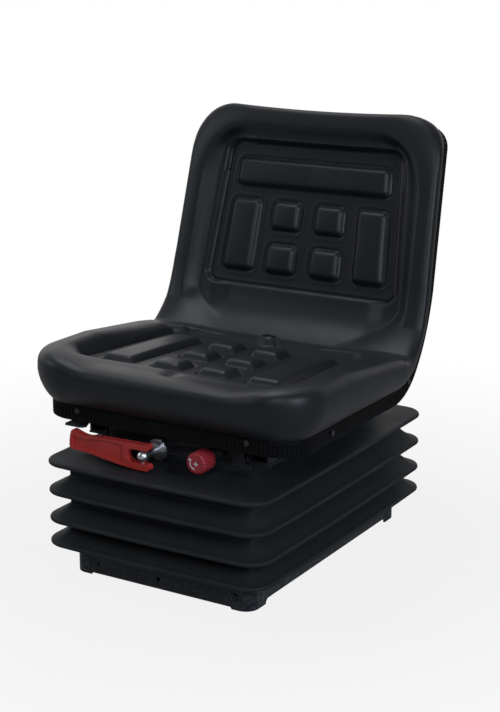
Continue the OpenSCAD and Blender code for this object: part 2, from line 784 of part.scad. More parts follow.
// Fluted grip with a domed rim and a raised turning mark on its face
module height_knob() {
  color(knob_red) translate([knob_x, housing_front - knob_gap, knob_z]) difference() {
    rotate([90, 0, 0]) rotate_extrude() polygon(concat(
      [[0, 0], [knob_d / 2 - 1.5, 0]],
      arc_points(knob_d / 2 - 2, 2, 2, -60, 0, 2),
      arc_points(knob_d / 2 - 4, knob_len - 4, 4, 0, 90, 4),
      [[0, knob_len]]));
    for (i = [0:knob_flutes - 1]) rotate([0, i * 360 / knob_flutes, 0])
      translate([knob_d / 2 + 1.1, -2.5, 0]) y_rod(2, knob_len);
    translate([0, 1, 0]) y_rod(knob_shaft_r + 0.02, 19);
  }
}

module knob_shaft() {
  color(zinc) translate([knob_x, 0, knob_z]) {
    translate([0, housing_front + 16, 0]) y_rod(knob_shaft_r, knob_gap + 16 + 17);
    translate([0, housing_front - gap, 0]) y_rod(9, knob_gap - 2 * gap);
    translate([0, housing_front + sheet_t + gap + 3, 0]) y_rod(8, 3);
  }
}

// SLIDE RAILS

bolt_head_r = 5.5;
rail_rear_y = rail_front_y + rail_len;
rail_low = wing_z;
rail_high = wing_z + rail_h;
lip = 6;
shell_low = pan_z - gap - shell_t;
stem_half = rail_w / 2 - rail_t - lip - 1;
hook_half = rail_w / 2 - rail_t - 0.8;
hook_z = rail_low + rail_t + 4;

module lower_rails() {
  color(steel_black) both_sides() difference() {
    translate([rail_x, rail_rear_y, 0]) rotate([90, 0, 0]) linear_extrude(rail_len) {
      translate([-rail_w / 2, rail_low]) square([rail_w, rail_t]);
      for (s = [-1, 1]) scale([s, 1]) {
        translate([rail_w / 2 - rail_t, rail_low]) square([rail_t, rail_h]);
        translate([rail_w / 2 - rail_t - lip, rail_high - rail_t]) square([lip + rail_t, rail_t]);
      }
    }
    for (y = rail_bolt_y) {
      translate([rail_x, y, rail_low - 1]) cylinder(r = 3 + run_fit, h = rail_t + 2);
      translate([rail_x, y, rail_low + 0.8]) cylinder(r = bolt_head_r + run_fit, h = rail_t);
    }
    // locking slots in the outer wall
    for (i = [0:8])
      translate([rail_x + rail_w / 2 - rail_t / 2, latch_tooth_y + (i - 4) * slot_pitch, latch_z])
        cube([rail_t + 1, 7.5, 5], center = true);
  }
}

module rail_bolts() {
  color(zinc) both_sides() for (y = rail_bolt_y) translate([rail_x, y, 0]) {
    translate([0, 0, rail_low + 0.8 + press_gap]) cylinder(r = bolt_head_r, h = rail_t - 1);
    translate([0, 0, wing_low - 8]) cylinder(r = 3, h = 8 + sheet_t + 1);
    translate([0, 0, wing_low - 5]) rotate([0, 0, 30]) cylinder(r = 5.5, h = 5, $fn = 6);
  }
}

// Bright stop clips on the front ends of the lower rails
module rail_end_clips() {
  clip_x = rail_x - rail_w / 2;
  color(zinc) both_sides() {
    translate([clip_x - 2.2, rail_front_y - 3, rail_low + gap]) cube([2.2 - eps, 12, 8]);
    translate([clip_x - 2.2, rail_front_y - 3, rail_low + gap]) cube([5.5, 2.7, 5]);
  }
}

upper_rail_front = pin_y + crank_t / 2 + slide_travel + 2;
upper_rail_rear = rail_rear_y - 6;

module upper_rails() {
  color(steel_black) both_sides()
    translate([rail_x, upper_rail_rear, 0]) rotate([90, 0, 0])
      linear_extrude(upper_rail_rear - upper_rail_front) {
      translate([-stem_half, shell_low - rail_t]) square([2 * stem_half, rail_t]);
      for (s = [-1, 1]) scale([s, 1]) {
        translate([stem_half - rail_t, hook_z]) square([rail_t, shell_low - hook_z]);
        translate([stem_half - rail_t, hook_z]) square([hook_half - stem_half + rail_t, rail_t]);
        translate([hook_half - rail_t, hook_z])
          square([rail_t, rail_high - rail_t - gap - hook_z]);
      }
    }
}

// Nylon glides under the upper rails
module rail_glides() {
  color("#d8d8d2") both_sides() for (y = [upper_rail_front + 4, upper_rail_rear - 44])
    translate([rail_x - hook_half + 1, y, rail_low + rail_t + gap])
      cube([2 * hook_half - 2, 36, hook_z - rail_low - rail_t - gap]);
}

// SLIDE LEVER

latch_z = rail_low + 9;
lever_x = -(rail_x + rail_w / 2 + 7.5);
lever_t = 3;
latch_pivot_y = 20;
latch_tooth_y = -60;
latch_pin_r = 4;
paddle_z = 213.3;
lever_low = rail_high + 0.4;
lever_h = 8;

// Pin under the shell that the slide lever turns on
module latch_pivot() {
  color(zinc) translate([lever_x, latch_pivot_y, 0]) {
    translate([0, 0, lever_low - 3]) cylinder(r = latch_pin_r, h = shell_low - lever_low + 3);
    translate([0, 0, lever_low - 3]) cylinder(r = latch_pin_r + 2.5, h = 3 - gap);
  }
}

// Flat lever with an eye, a locking tooth and a pointed paddle under the seat's corner
module slide_lever() {
  bar_front = paddle_front_y + 20;
  color(steel_black) difference() {
    union() {
      translate([lever_x, latch_pivot_y, lever_low]) cylinder(r = 8, h = lever_h);
      translate([lever_x - lever_t / 2, bar_front, lever_low])
        cube([lever_t, latch_pivot_y - bar_front, lever_h]);
      // tab and tooth, held just clear of the locking slots
      translate([lever_x - lever_t / 2, latch_tooth_y - 5, latch_z - 3])
        cube([lever_t, 10, lever_low + 1 - latch_z + 3]);
      translate([lever_x, latch_tooth_y - 3, latch_z - 1.8])
        cube([-lever_x - rail_x - rail_w / 2 - 0.4, 6, 3.6]);
      translate([0, 0, paddle_z]) linear_extrude(2.6) polygon(concat(
        [[lever_x - 4.5, paddle_front_y + 2], [lever_x - 4.5, paddle_front_y + 42],
         [lever_x + 1.5, paddle_front_y + 42]],
        arc_points(lever_x + 12, paddle_front_y + 26, 8, 140, 0, 6),
        arc_points(lever_x + 20, paddle_front_y + 8, 8, 0, -90, 5),
        [[lever_x - 3, paddle_front_y]]));
    }
    translate([lever_x, latch_pivot_y, lever_low - 1])
      cylinder(r = latch_pin_r + run_fit, h = lever_h + 2);
  }
}

// Return spring round the lever's pin, drawn as a scalloped tube
module latch_spring() {
  low = lever_low + lever_h + gap;
  high = shell_low - gap;
  turns = 2;
  pitch = (high - low) / turns;
  color("#3a3d40") translate([lever_x, latch_pivot_y, low]) rotate_extrude($fn = 32) polygon(concat(
    [[latch_pin_r + gap, 0]],
    [for (i = [0:turns - 1], k = [0:3])
      [latch_pin_r + gap + 0.8 + 0.8 * sin(45 * k), pitch * (i + k / 4)]],
    [[latch_pin_r + gap + 0.8, pitch * turns], [latch_pin_r + gap, pitch * turns]]));
}

// SEAT SHELL PATH

bend1_r = 88;
bend1_a = 50;
bend2_r = 230;
bend2_a = 20;
bend3_r = 400;
bend3_a = 6;

function arc_end(p, r, turn) =
  [p[0] + r * (sin(p[2] + turn) - sin(p[2])), p[1] + r * (cos(p[2]) - cos(p[2] + turn)), p[2] + turn];
function arc_run(r, a) = r * a * PI / 180;

bend1_p = [seat_front_y + seat_run, pan_z, 0];
bend2_p = arc_end(bend1_p, bend1_r, bend1_a);
bend3_p = arc_end(bend2_p, bend2_r, bend2_a);
back_p = arc_end(bend3_p, bend3_r, bend3_a);
s_bend2 = seat_run + arc_run(bend1_r, bend1_a);
s_bend3 = s_bend2 + arc_run(bend2_r, bend2_a);
s_back = s_bend3 + arc_run(bend3_r, bend3_a);
s_top = s_back + back_run;

// Place and slope of the shell at a run s from its front edge: [y, z, angle]
function shell_at(s) =
  s <= seat_run ? [seat_front_y + s, pan_z, 0] :
  s <= s_bend2 ? arc_end(bend1_p, bend1_r, (s - seat_run) / arc_run(bend1_r, 1)) :
  s <= s_bend3 ? arc_end(bend2_p, bend2_r, (s - s_bend2) / arc_run(bend2_r, 1)) :
  s <= s_back ? arc_end(bend3_p, bend3_r, (s - s_bend3) / arc_run(bend3_r, 1)) :
  [back_p[0] + (s - s_back) * cos(back_p[2]), back_p[1] + (s - s_back) * sin(back_p[2]), back_p[2]];

// Point at run s, sideways x and height h above the shell
function on_shell(x, s, h) = let (p = shell_at(s)) [x, p[0] - h * sin(p[2]), p[1] + h * cos(p[2])];

// Half width of the shell along its run
function half_w(s) = s < s_back ? seat_half_w : lerp(seat_half_w, back_half_w, (s - s_back) / back_run);

function lerp(a, b, t) = a + (b - a) * t;
function clamp01(t) = min(1, max(0, t));
function smooth(t) = let (c = clamp01(t)) c * c * (3 - 2 * c);

// Side profile of a sheet that follows the shell between two heights
function shell_profile(h0, h1, s0, s1) =
  let (runs = concat([s0], [for (i = [0:24]) lerp(seat_run, s_back, i / 24)], [s1]))
  concat([for (s = runs) let (p = on_shell(0, s, h0)) [p[1], p[2]]],
         [for (i = [len(runs) - 1:-1:0]) let (p = on_shell(0, runs[i], h1)) [p[1], p[2]]]);

// One-piece pressed shell, round at the seat's front corners and the backrest's top
module seat_shell() {
  edge = 1.5;
  r = seat_corner_r - edge;
  top_r = top_corner_r - edge;
  top = on_shell(0, s_top - edge, 0);
  lean = sin(back_p[2]);
  wide = seat_half_w - edge;
  plan = concat(
    arc_points(seat_half_w - seat_corner_r, seat_front_y + seat_corner_r, r, -90, 0, 12),
    [[wide, bend2_p[0]], [wide, top[1] + 60]]);
  front_centre_z = top[2] - top_r * lean;
  front = concat(
    [[wide, 0], [wide, back_p[1]]],
    [for (i = [0:12]) let (a = 90 * i / 12)
      [half_w(s_top - top_corner_r) - top_corner_r + top_r * cos(a), front_centre_z + top_r * lean * sin(a)]]);
  color(steel_black) difference() {
    intersection() {
      rotate([90, 0, 90]) linear_extrude(3 * wide, center = true)
        polygon(shell_profile(-gap - shell_t, -gap, edge, s_top - edge));
      linear_extrude(700) polygon(concat(plan, [for (p = reverse(plan)) [-p[0], p[1]]]));
      translate([0, 400, 0]) rotate([90, 0, 0]) linear_extrude(800)
        polygon(concat(front, [for (p = reverse(front)) [-p[0], p[1]]]));
    }
    // drain hole at the rear of the seat
    translate([0, seat_front_y + seat_run - 10, pan_z - 10]) cylinder(r = 9, h = 20);
  }
}

// CUSHION

rim_steps = 7;
rim_start = -66;
inner_inset = 10;
widest = 0.62;
squareness = 0.6;
trim_low = -4.5;
trim_top = trim_h + trim_low;

// Roll profile at ring k: how far inside the trim line, and its height under a given roll top
function rim_angle(k) = lerp(rim_start, 90, (k - 1) / (rim_steps - 1));
function rim_inset(k, s) =
  let (a = rim_angle(k), b = bulge_at(s))
  k == 0 ? 0 :
  a < 0 ? -b * (1 - pow((1 - cos(a)) / (1 - cos(rim_start)), 0.8)) :
  -b + (inner_inset + b) * (1 - pow(max(0, cos(a)), squareness));
function rim_height(k, top) =
  let (a = rim_angle(k))
  k == 0 ? 0 : lerp(trim_top + gap, top,
    a < 0 ? widest * (1 - sin(a) / sin(rim_start)) : widest + (1 - widest) * pow(sin(a), squareness));

// Bulge of the roll past the trim at run s
function bulge_at(s) =
  lookup(s, [[seat_run, roll_bulge], [505, roll_bulge - 8], [s_top, roll_bulge - 10]]);

// Height of the roll's top above the shell, lower on the backrest and between the front corners
function roll_height(x, s) =
  lookup(s, [[120, roll_top], [256, roll_top - 14], [416, roll_top - 40], [s_top, roll_top - 42]])
  - front_dip * (1 - smooth((abs(x) - 110) / 80)) * (1 - smooth((s - 20) / 60));

// Corner radius of the cushion's outline at ring k, larger up on the roll
function ring_corner(k, front) =
  lerp(front ? seat_corner_r : top_corner_r, front ? 52 : 110, smooth((k / rim_steps - 0.15) / 0.85));

// Corner radius of the grid inside the roll, which shrinks with the depth from the edge
function inner_corner(depth, front) =
  lerp(ring_corner(rim_steps, front), seat_corner_r, smooth((depth - inner_inset) / 40));

// How far the bend between the seat and the backrest has gone at run s, from 0 to 1
function bend_share(s) = smooth((s - seat_run) / (s_bend3 - seat_run));

// Height of the panels' floor above the shell
function floor_height(s) =
  s < seat_run ? lerp(66, 50, clamp01((s - 40) / 250)) : lerp(50, 25, bend_share(s));

// Height of the plain surface between the seat panel and the backrest panel
function lumbar_height(s) = lerp(57, 36, bend_share(s));

seat_panel = [43, 284];
back_panel = [s_back - 30, s_top - 38];
panel_step = 6;

// Pads on one side of the middle: [lowest x, highest x, lowest s, highest s]
seat_pitch = 70;
seat_row = 62;
seat_pad_l = 44;
back_rows = [s_back - 12, s_back + 57];
back_pad_l = 45;
bar_row = [s_back + 128, s_back + 171];
pads = concat(
  [[90, 150, seat_row, seat_row + 178]],
  [for (i = [0:2]) [14, 62, seat_row + i * seat_pitch, seat_row + i * seat_pitch + seat_pad_l]],
  [[90, 140, back_rows[0], back_rows[1] + back_pad_l]],
  [for (s = back_rows) [14, 62, s, s + back_pad_l]],
  [[-20, 128, bar_row[0], bar_row[1]]]);
function ramp(t) = clamp01(t / panel_step);
function pad_height(x, s) = pad_rise * max([for (p = pads)
  min(ramp(x - p[0]), ramp(p[1] - x), ramp(s - p[2]), ramp(p[3] - s))]);

// Half width of the panel at run s, and 1 where s lies on a panel
function panel_half(s) =
  s < seat_run ? lerp(185, 168, clamp01((s - seat_panel[0] - 17) / 207)) :
  lerp(168, 151, clamp01((s - back_panel[0]) / (back_panel[1] - back_panel[0])));
function on_panel(s) = max(
  min(ramp(s - seat_panel[0]), ramp(seat_panel[1] - s)),
  min(ramp(s - back_panel[0]), ramp(back_panel[1] - s)));

// Height of the cushion's face inside the roll
function face_height(x, s) =
  let (ax = abs(x),
       edge = panel_half(s),
       roll_in = half_w(s) - inner_inset,
       wing = smooth((ax - edge) / max(4, roll_in - edge)),
       front = 1 - smooth((s - inner_inset) / (seat_panel[0] - inner_inset)),
       top = smooth((s - back_panel[1]) / (s_top - inner_inset - back_panel[1])),
       panel = min(on_panel(s), ramp(edge - ax)),
       plain = lerp(floor_height(s) + 6, lumbar_height(s), smooth((s - 255) / 40)),
       level = lerp(plain, floor_height(s), panel),
       raised = level + (panel > 0.99 ? pad_height(ax, s) : 0))
  lerp(raised, rim_height(rim_steps, roll_height(x, s)), max(wing, front, top));

// Grid lines across inside the roll, in millimetres from the middle; the last three follow the panel
seat_x_lines = [14, 20, 56, 62, 90, 96, 120, 132, 144, 150];
back_x_lines = [14, 20, 56, 62, 90, 96, 122, 128, 134, 140];
function x_line(i, s) =
  let (edge = panel_half(s), n = len(seat_x_lines))
  i < n ? lerp(seat_x_lines[i], back_x_lines[i], bend_share(s)) :
  [edge - panel_step, edge, (edge + half_w(s) - inner_inset) / 2][i - n];
x_line_count = len(seat_x_lines) + 3;

// Grid lines along the run inside the roll
function pad_lines(low, length) = [low, low + panel_step, low + length - panel_step, low + length];
s_lines = concat(
  [seat_panel[0] - 18, seat_panel[0] - 8, seat_panel[0], seat_panel[0] + panel_step],
  [for (i = [0:2]) each pad_lines(seat_row + i * seat_pitch, seat_pad_l)],
  [seat_panel[1] - 16, seat_panel[1] - panel_step, seat_panel[1]],
  [for (i = [1:6]) lerp(seat_panel[1], back_panel[0], i / 7)],
  [back_panel[0], back_panel[0] + panel_step],
  [for (s = back_rows) each pad_lines(s, back_pad_l)],
  pad_lines(bar_row[0], bar_row[1] - bar_row[0]),
  [back_panel[1] - panel_step, back_panel[1], back_panel[1] + 12]);

function reverse(v) = [for (i = [len(v) - 1:-1:0]) v[i]];
columns = 2 * (rim_steps + 1) + 2 * x_line_count + 1;
rows = 2 * (rim_steps + 1) + len(s_lines);
no_ring = 99;

// Row and column places: [ring number or no_ring, line number, side]
function row_at(i) =
  i <= rim_steps ? [i, 0, -1] :
  i >= rows - 1 - rim_steps ? [rows - 1 - i, 0, 1] : [no_ring, i - rim_steps - 1, 0];
function column_at(j) =
  let (i = j - rim_steps - 1, n = x_line_count)
  j <= rim_steps ? [j, 0, -1] :
  j >= columns - 1 - rim_steps ? [columns - 1 - j, 0, 1] :
  i < n ? [no_ring, n - 1 - i, -1] : i == n ? [no_ring, 0, 0] : [no_ring, i - n - 1, 1];

// Evenly growing inset of a ring, which spreads the grid round the corners
function even_inset(k) = inner_inset * k / rim_steps;

function cushion_point(i, j) =
  let (row = row_at(i),
       col = column_at(j),
       ring = min(row[0], col[0]),
       s = row[0] == no_ring ? s_lines[row[1]] :
           row[2] < 0 ? even_inset(row[0]) : s_top - even_inset(row[0]),
       x = col[0] == no_ring ? col[2] * (col[2] == 0 ? 0 : x_line(col[1], s)) :
           col[2] * (half_w(s) - even_inset(col[0])),
       front = s < s_top / 2,
       corner_r = ring < no_ring ? ring_corner(ring, front) :
                  inner_corner(min(half_w(s) - abs(x), s, s_top - s), front),
       end_s = front ? corner_r : s_top - corner_r,
       end_w = half_w(end_s) - corner_r,
       dx = max(0, abs(x) - end_w),
       ds = max(0, corner_r - s, s - (s_top - corner_r)),
       away = ring == no_ring ? corner_r - max(dx, ds) : rim_inset(ring, s),
       reach = (corner_r - away) / max(0.001, sqrt(dx * dx + ds * ds)),
       s_side = front ? -1 : 1,
       place = dx > 0 && ds > 0 ?
         [sign(x) * (end_w + dx * reach), end_s + s_side * ds * reach] :
         ring == no_ring ? [x, s] :
         row[0] <= col[0] ? [x, row[2] < 0 ? away : s_top - away] :
         [col[2] * (half_w(s) - away), s],
       h = ring < no_ring ? rim_height(ring, roll_height(place[0], place[1])) : face_height(place[0], place[1]))
  on_shell(place[0], place[1], h);

// One-piece seat and backrest cushion: a fat roll round two padded panels
module seat_cushion() {
  n = columns;
  m = rows;
  points = [for (i = [0:m - 1], j = [0:n - 1]) cushion_point(i, j)];
  // each cell is split from the outer corner inwards, so both sides match
  top_faces = [for (i = [0:m - 2], j = [0:n - 2])
    let (a = i * n + j, b = a + n, c = b + 1, d = a + 1)
    each (j >= (n - 1) / 2) == (i >= m / 2) ? [[a, b, c], [a, c, d]] : [[a, b, d], [b, c, d]]];
  strip_faces = [for (i = [0:m - 2])
    each [[i * n, i * n + n - 1, (i + 1) * n + n - 1], [i * n, (i + 1) * n + n - 1, (i + 1) * n]]];
  end_faces = [[for (j = [0:n - 1]) j], [for (j = [n - 1:-1:0]) (m - 1) * n + j]];
  color(vinyl_black) polyhedron(points, concat(top_faces, strip_faces, end_faces));
}

// EDGE TRIM

trim_corner_steps = 12;

// Outline of the trim in run and width, at a distance outside the shell's edge
function trim_outline(out) =
  let (low = seat_corner_r,
       high = s_top - top_corner_r,
       side_runs = concat([for (t = [0:3]) lerp(low + 10, seat_run, t / 4)],
                          [for (t = [0:12]) lerp(seat_run, s_bend2, t / 12)],
                          [for (t = [1:8]) lerp(s_bend2, s_back, t / 8)],
                          [for (t = [1:4]) lerp(s_back, high - 10, t / 4)]),
       arc_low = [for (i = [0:trim_corner_steps]) let (a = 90 * i / trim_corner_steps)
                   [half_w(low) - low + (low + out) * sin(a), low - (low + out) * cos(a)]],
       arc_high = [for (i = [0:trim_corner_steps]) let (a = 90 * i / trim_corner_steps)
                    [half_w(high) - top_corner_r + (top_corner_r + out) * cos(a),
                     high + (top_corner_r + out) * sin(a)]],
       right = concat(arc_low, [for (s = side_runs) [half_w(s) + out, s]], arc_high))
  concat(right, [for (i = [len(right) - 1:-1:0]) [-right[i][0], right[i][1]]]);

module edge_trim() {
  section = [[gap, trim_top], [gap + trim_t, trim_top - 0.5],
             [gap + trim_t, trim_low], [-8, trim_low], [-8, trim_low + 1.8], [gap, trim_low + 1.8]];
  m = len(section);
  outlines = [for (p = section) trim_outline(p[0])];
  n = len(outlines[0]);
  color(vinyl_black) polyhedron(
    points = [for (k = [0:m - 1], i = [0:n - 1])
      on_shell(outlines[k][i][0], outlines[k][i][1], section[k][1])],
    faces = [for (k = [0:m - 1], i = [0:n - 1])
      let (k2 = (k + 1) % m, i2 = (i + 1) % n)
      each [[k * n + i, k * n + i2, k2 * n + i2], [k * n + i, k2 * n + i2, k2 * n + i]]]);
}

// Rivets through the trim: two in front, two on each side
module trim_rivets() {
  rivet_h = 11;
  out = gap + trim_t + gap;
  color(vinyl_black) both_sides() {
    translate([137, seat_front_y - out, pan_z + rivet_h]) y_rod(4, 1.6);
    for (s = [100, seat_run + 54]) {
      p = on_shell(half_w(s) + out, s, 8);
      translate(p) rotate([0, 90, 0]) cylinder(r = 4, h = 1.6);
    }
  }
}

base_tray();
base_screws();
base_pivot_shaft();
bump_stops();
bellows();
outer_arms();
outer_arm_rollers();
scissor_pins();
inner_arms();
inner_arm_tube();
inner_arm_rollers();
damper_tube();
damper_rod();
tension_springs();
upper_housing();
front_panel();
panel_screws();
upper_pivot_shaft();
upper_channels();
damper_bracket();
spring_yoke();
lower_rails();
rail_bolts();
rail_end_clips();
weight_spindle();
crank_lever();
crank_pin();
height_knob();
knob_shaft();
upper_rails();
rail_glides();
seat_shell();
seat_cushion();
edge_trim();
trim_rivets();
latch_pivot();
slide_lever();
latch_spring();
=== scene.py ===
"""Looks of the tractor suspension seat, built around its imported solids.

Sizes are in millimetres in this file and become metres when a mesh is placed.
X is the width, the seat faces -Y and Z is up.
"""

import json
import logging
import math
from collections.abc import Callable, Iterable, Sequence
from dataclasses import dataclass, field
from enum import Enum

import bmesh
import bpy
import numpy as np
from mathutils import Matrix, Vector


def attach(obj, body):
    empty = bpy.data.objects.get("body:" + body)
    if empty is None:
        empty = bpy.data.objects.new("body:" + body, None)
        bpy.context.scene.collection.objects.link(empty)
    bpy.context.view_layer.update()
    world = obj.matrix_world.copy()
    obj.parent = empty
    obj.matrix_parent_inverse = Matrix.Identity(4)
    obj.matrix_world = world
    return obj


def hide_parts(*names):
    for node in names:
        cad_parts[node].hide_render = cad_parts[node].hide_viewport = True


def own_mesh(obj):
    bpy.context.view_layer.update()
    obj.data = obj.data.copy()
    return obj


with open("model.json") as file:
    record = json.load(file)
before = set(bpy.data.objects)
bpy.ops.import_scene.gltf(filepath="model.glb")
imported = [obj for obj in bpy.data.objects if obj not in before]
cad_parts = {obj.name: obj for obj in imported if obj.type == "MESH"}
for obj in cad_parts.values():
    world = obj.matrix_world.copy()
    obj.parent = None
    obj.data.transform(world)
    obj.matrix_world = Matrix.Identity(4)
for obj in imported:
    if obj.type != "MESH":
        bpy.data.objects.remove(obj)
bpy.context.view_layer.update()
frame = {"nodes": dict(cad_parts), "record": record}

MM = 0.001
GAP = 0.3
LOG = logging.getLogger("seat")
Colour = tuple[float, float, float]
Point = tuple[float, float, float]
Flat = tuple[float, float]


class Slot(Enum):
    """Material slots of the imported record."""

    PAINTED_STEEL = "painted_steel"
    BELLOWS_RUBBER = "bellows_rubber"
    BUMP_RUBBER = "bump_rubber"
    ZINC_STEEL = "zinc_steel"
    NYLON = "nylon"
    SPRING_STEEL = "spring_steel"
    VINYL_SKIN = "vinyl_skin"
    TRIM_PLASTIC = "trim_plastic"
    CRANK_RED = "crank_red"
    KNOB_RED = "knob_red"


class Body(Enum):
    """Moving bodies that new pieces ride on."""

    BASE = "base"
    UPPER = "upper"
    SEAT = "seat"
    CRANK = "crank"
    KNOB = "knob"


class Grain(Enum):
    """Kinds of fine surface relief."""

    PEBBLE = "pebble"
    MATT = "matt"
    BRUSHED = "brushed"


class Ends(Enum):
    """How a stack of rings is closed."""

    CAPPED = "capped"
    JOINED = "joined"


# Small mathematics


def smooth(t: np.ndarray | float) -> np.ndarray | float:
    """Ease from 0 to 1, flat at both ends.

    Args:
        t: Place between the ends; values outside are clipped.

    Returns:
        The eased value.
    """
    c = np.clip(t, 0.0, 1.0)
    return c * c * (3 - 2 * c)


def mix(a: np.ndarray | float, b: np.ndarray | float, t: np.ndarray | float) -> np.ndarray | float:
    """Straight blend from a to b.

    Args:
        a: Value at 0.
        b: Value at 1.
        t: Share of b.

    Returns:
        The blended value.
    """
    return a + (b - a) * t


def arc(cx: float, cy: float, r: float, start: float, end: float, steps: int) -> list[Flat]:
    """Points of a circular arc.

    Args:
        cx: Centre, first coordinate.
        cy: Centre, second coordinate.
        r: Radius.
        start: First angle in degrees.
        end: Last angle in degrees.
        steps: Number of pieces.

    Returns:
        The points, both ends included.
    """
    angles = [math.radians(start + (end - start) * i / steps) for i in range(steps + 1)]
    return [(cx + r * math.cos(a), cy + r * math.sin(a)) for a in angles]


def bezier(a: Flat, b: Flat, c: Flat, d: Flat, steps: int) -> list[Flat]:
    """Points of a smooth curve through four control points.

    Args:
        a: Start.
        b: First handle.
        c: Second handle.
        d: End.
        steps: Number of pieces.

    Returns:
        The points, both ends included.
    """
    made = []
    for i in range(steps + 1):
        t = i / steps
        w = ((1 - t) ** 3, 3 * t * (1 - t) ** 2, 3 * t * t * (1 - t), t**3)
        made.append(tuple(sum(k * p[n] for k, p in zip(w, (a, b, c, d))) for n in (0, 1)))
    return made


# Mesh tools


def activate(obj: bpy.types.Object) -> None:
    """Makes obj the only selected and the active object.

    Args:
        obj: Object to work on.
    """
    bpy.ops.object.select_all(action="DESELECT")
    obj.select_set(True)
    bpy.context.view_layer.objects.active = obj


def apply_modifier(obj: bpy.types.Object, kind: str, **settings: object) -> None:
    """Adds a modifier and applies it.

    Args:
        obj: Object to change.
        kind: Blender's name for the modifier.
        **settings: Its values.
    """
    activate(obj)
    made = obj.modifiers.new(kind.lower(), kind)
    for name, value in settings.items():
        setattr(made, name, value)
    bpy.ops.object.modifier_apply(modifier=made.name)


def finish_mesh(obj: bpy.types.Object, angle: float = 35.0) -> bpy.types.Object:
    """Turns the faces outwards and shades them smooth below an angle.

    Args:
        obj: Object to finish.
        angle: Sharpest edge that still looks round, in degrees.

    Returns:
        The same object.
    """
    activate(obj)
    bpy.ops.object.mode_set(mode="EDIT")
    bpy.ops.mesh.select_all(action="SELECT")
    bpy.ops.mesh.normals_make_consistent(inside=False)
    bpy.ops.object.mode_set(mode="OBJECT")
    bpy.ops.object.shade_smooth_by_angle(angle=math.radians(angle))
    return obj


def stack_rings(name: str, rings: Sequence[Sequence[Point]], ends: Ends) -> bpy.types.Object:
    """Adds a circle and extrudes it ring by ring along the given outlines.

    Args:
        name: Name of the new piece.
        rings: Outlines with equal numbers of points, in millimetres.
        ends: Whether the two ends are capped or joined to each other.

    Returns:
        The new object.
    """
    count = len(rings[0])
    bpy.ops.object.select_all(action="DESELECT")
    bpy.ops.mesh.primitive_circle_add(vertices=count, radius=1.0)
    obj = bpy.context.object
    obj.name = obj.data.name = name
    bpy.ops.object.mode_set(mode="EDIT")
    bpy.ops.mesh.select_all(action="SELECT")
    loops = [list(range(count))]
    for number, ring in enumerate(rings):
        if number:
            bpy.ops.mesh.extrude_edges_move()
        shape = bmesh.from_edit_mesh(obj.data)
        shape.verts.ensure_lookup_table()
        shape.verts.index_update()
        if number:
            known = set(loops[-1])
            loops.append([
                next(e.other_vert(shape.verts[i]).index for e in shape.verts[i].link_edges
                     if e.other_vert(shape.verts[i]).select
                     and e.other_vert(shape.verts[i]).index not in known)
                for i in loops[-1]])
        for index, point in zip(loops[-1], ring):
            shape.verts[index].co = Vector(point) * MM
        bmesh.update_edit_mesh(obj.data)
    shape = bmesh.from_edit_mesh(obj.data)
    shape.verts.ensure_lookup_table()
    first, last = ([shape.verts[i] for i in loops[k]] for k in (0, -1))
    if ends is Ends.CAPPED:
        shape.faces.new(first)
        shape.faces.new(last)
    else:
        for i in range(count):
            k = (i + 1) % count
            shape.faces.new((first[i], last[i], last[k], first[k]))
    bmesh.update_edit_mesh(obj.data)
    bpy.ops.object.mode_set(mode="OBJECT")
    return finish_mesh(obj)


def plate(name: str, outline: Sequence[Flat], low: float, high: float,
          place: Callable[[float, float, float], Point]) -> bpy.types.Object:
    """Extrudes a flat outline into a plate.

    Args:
        name: Name of the new piece.
        outline: Points round the plate.
        low: One face's height.
        high: The other face's height.
        place: Turns outline point and height into a place in millimetres.

    Returns:
        The new object.
    """
    rings = [[place(x, y, h) for x, y in outline] for h in (low, high)]
    return stack_rings(name, rings, Ends.CAPPED)


def cut_away(obj: bpy.types.Object, tool: bpy.types.Object) -> None:
    """Cuts one piece by another, and removes the other.

    Args:
        obj: Piece that is cut.
        tool: Cutter.
    """
    apply_modifier(obj, "BOOLEAN", operation="DIFFERENCE", solver="EXACT", object=tool)
    bpy.data.objects.remove(tool)


def place_piece(obj: bpy.types.Object, body: Body, slot: Slot, material: bpy.types.Material,
                *nodes: str) -> bpy.types.Object:
    """Gives a new piece its finish and its body, and hides the CAD nodes that it replaces.

    Args:
        obj: New piece.
        body: Body it rides on.
        slot: Record slot of its finish; not used.
        material: Material it shows.
        *nodes: CAD nodes that it replaces.

    Returns:
        The same object.
    """
    obj.data.materials.clear()
    obj.data.materials.append(material)
    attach(obj, body.value)
    if nodes:
        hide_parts(*nodes)
    LOG.info("%s: %d faces, replaces %s", obj.name, len(obj.data.polygons), ", ".join(nodes) or "nothing")
    return obj


# Shader groups shared by the finishes


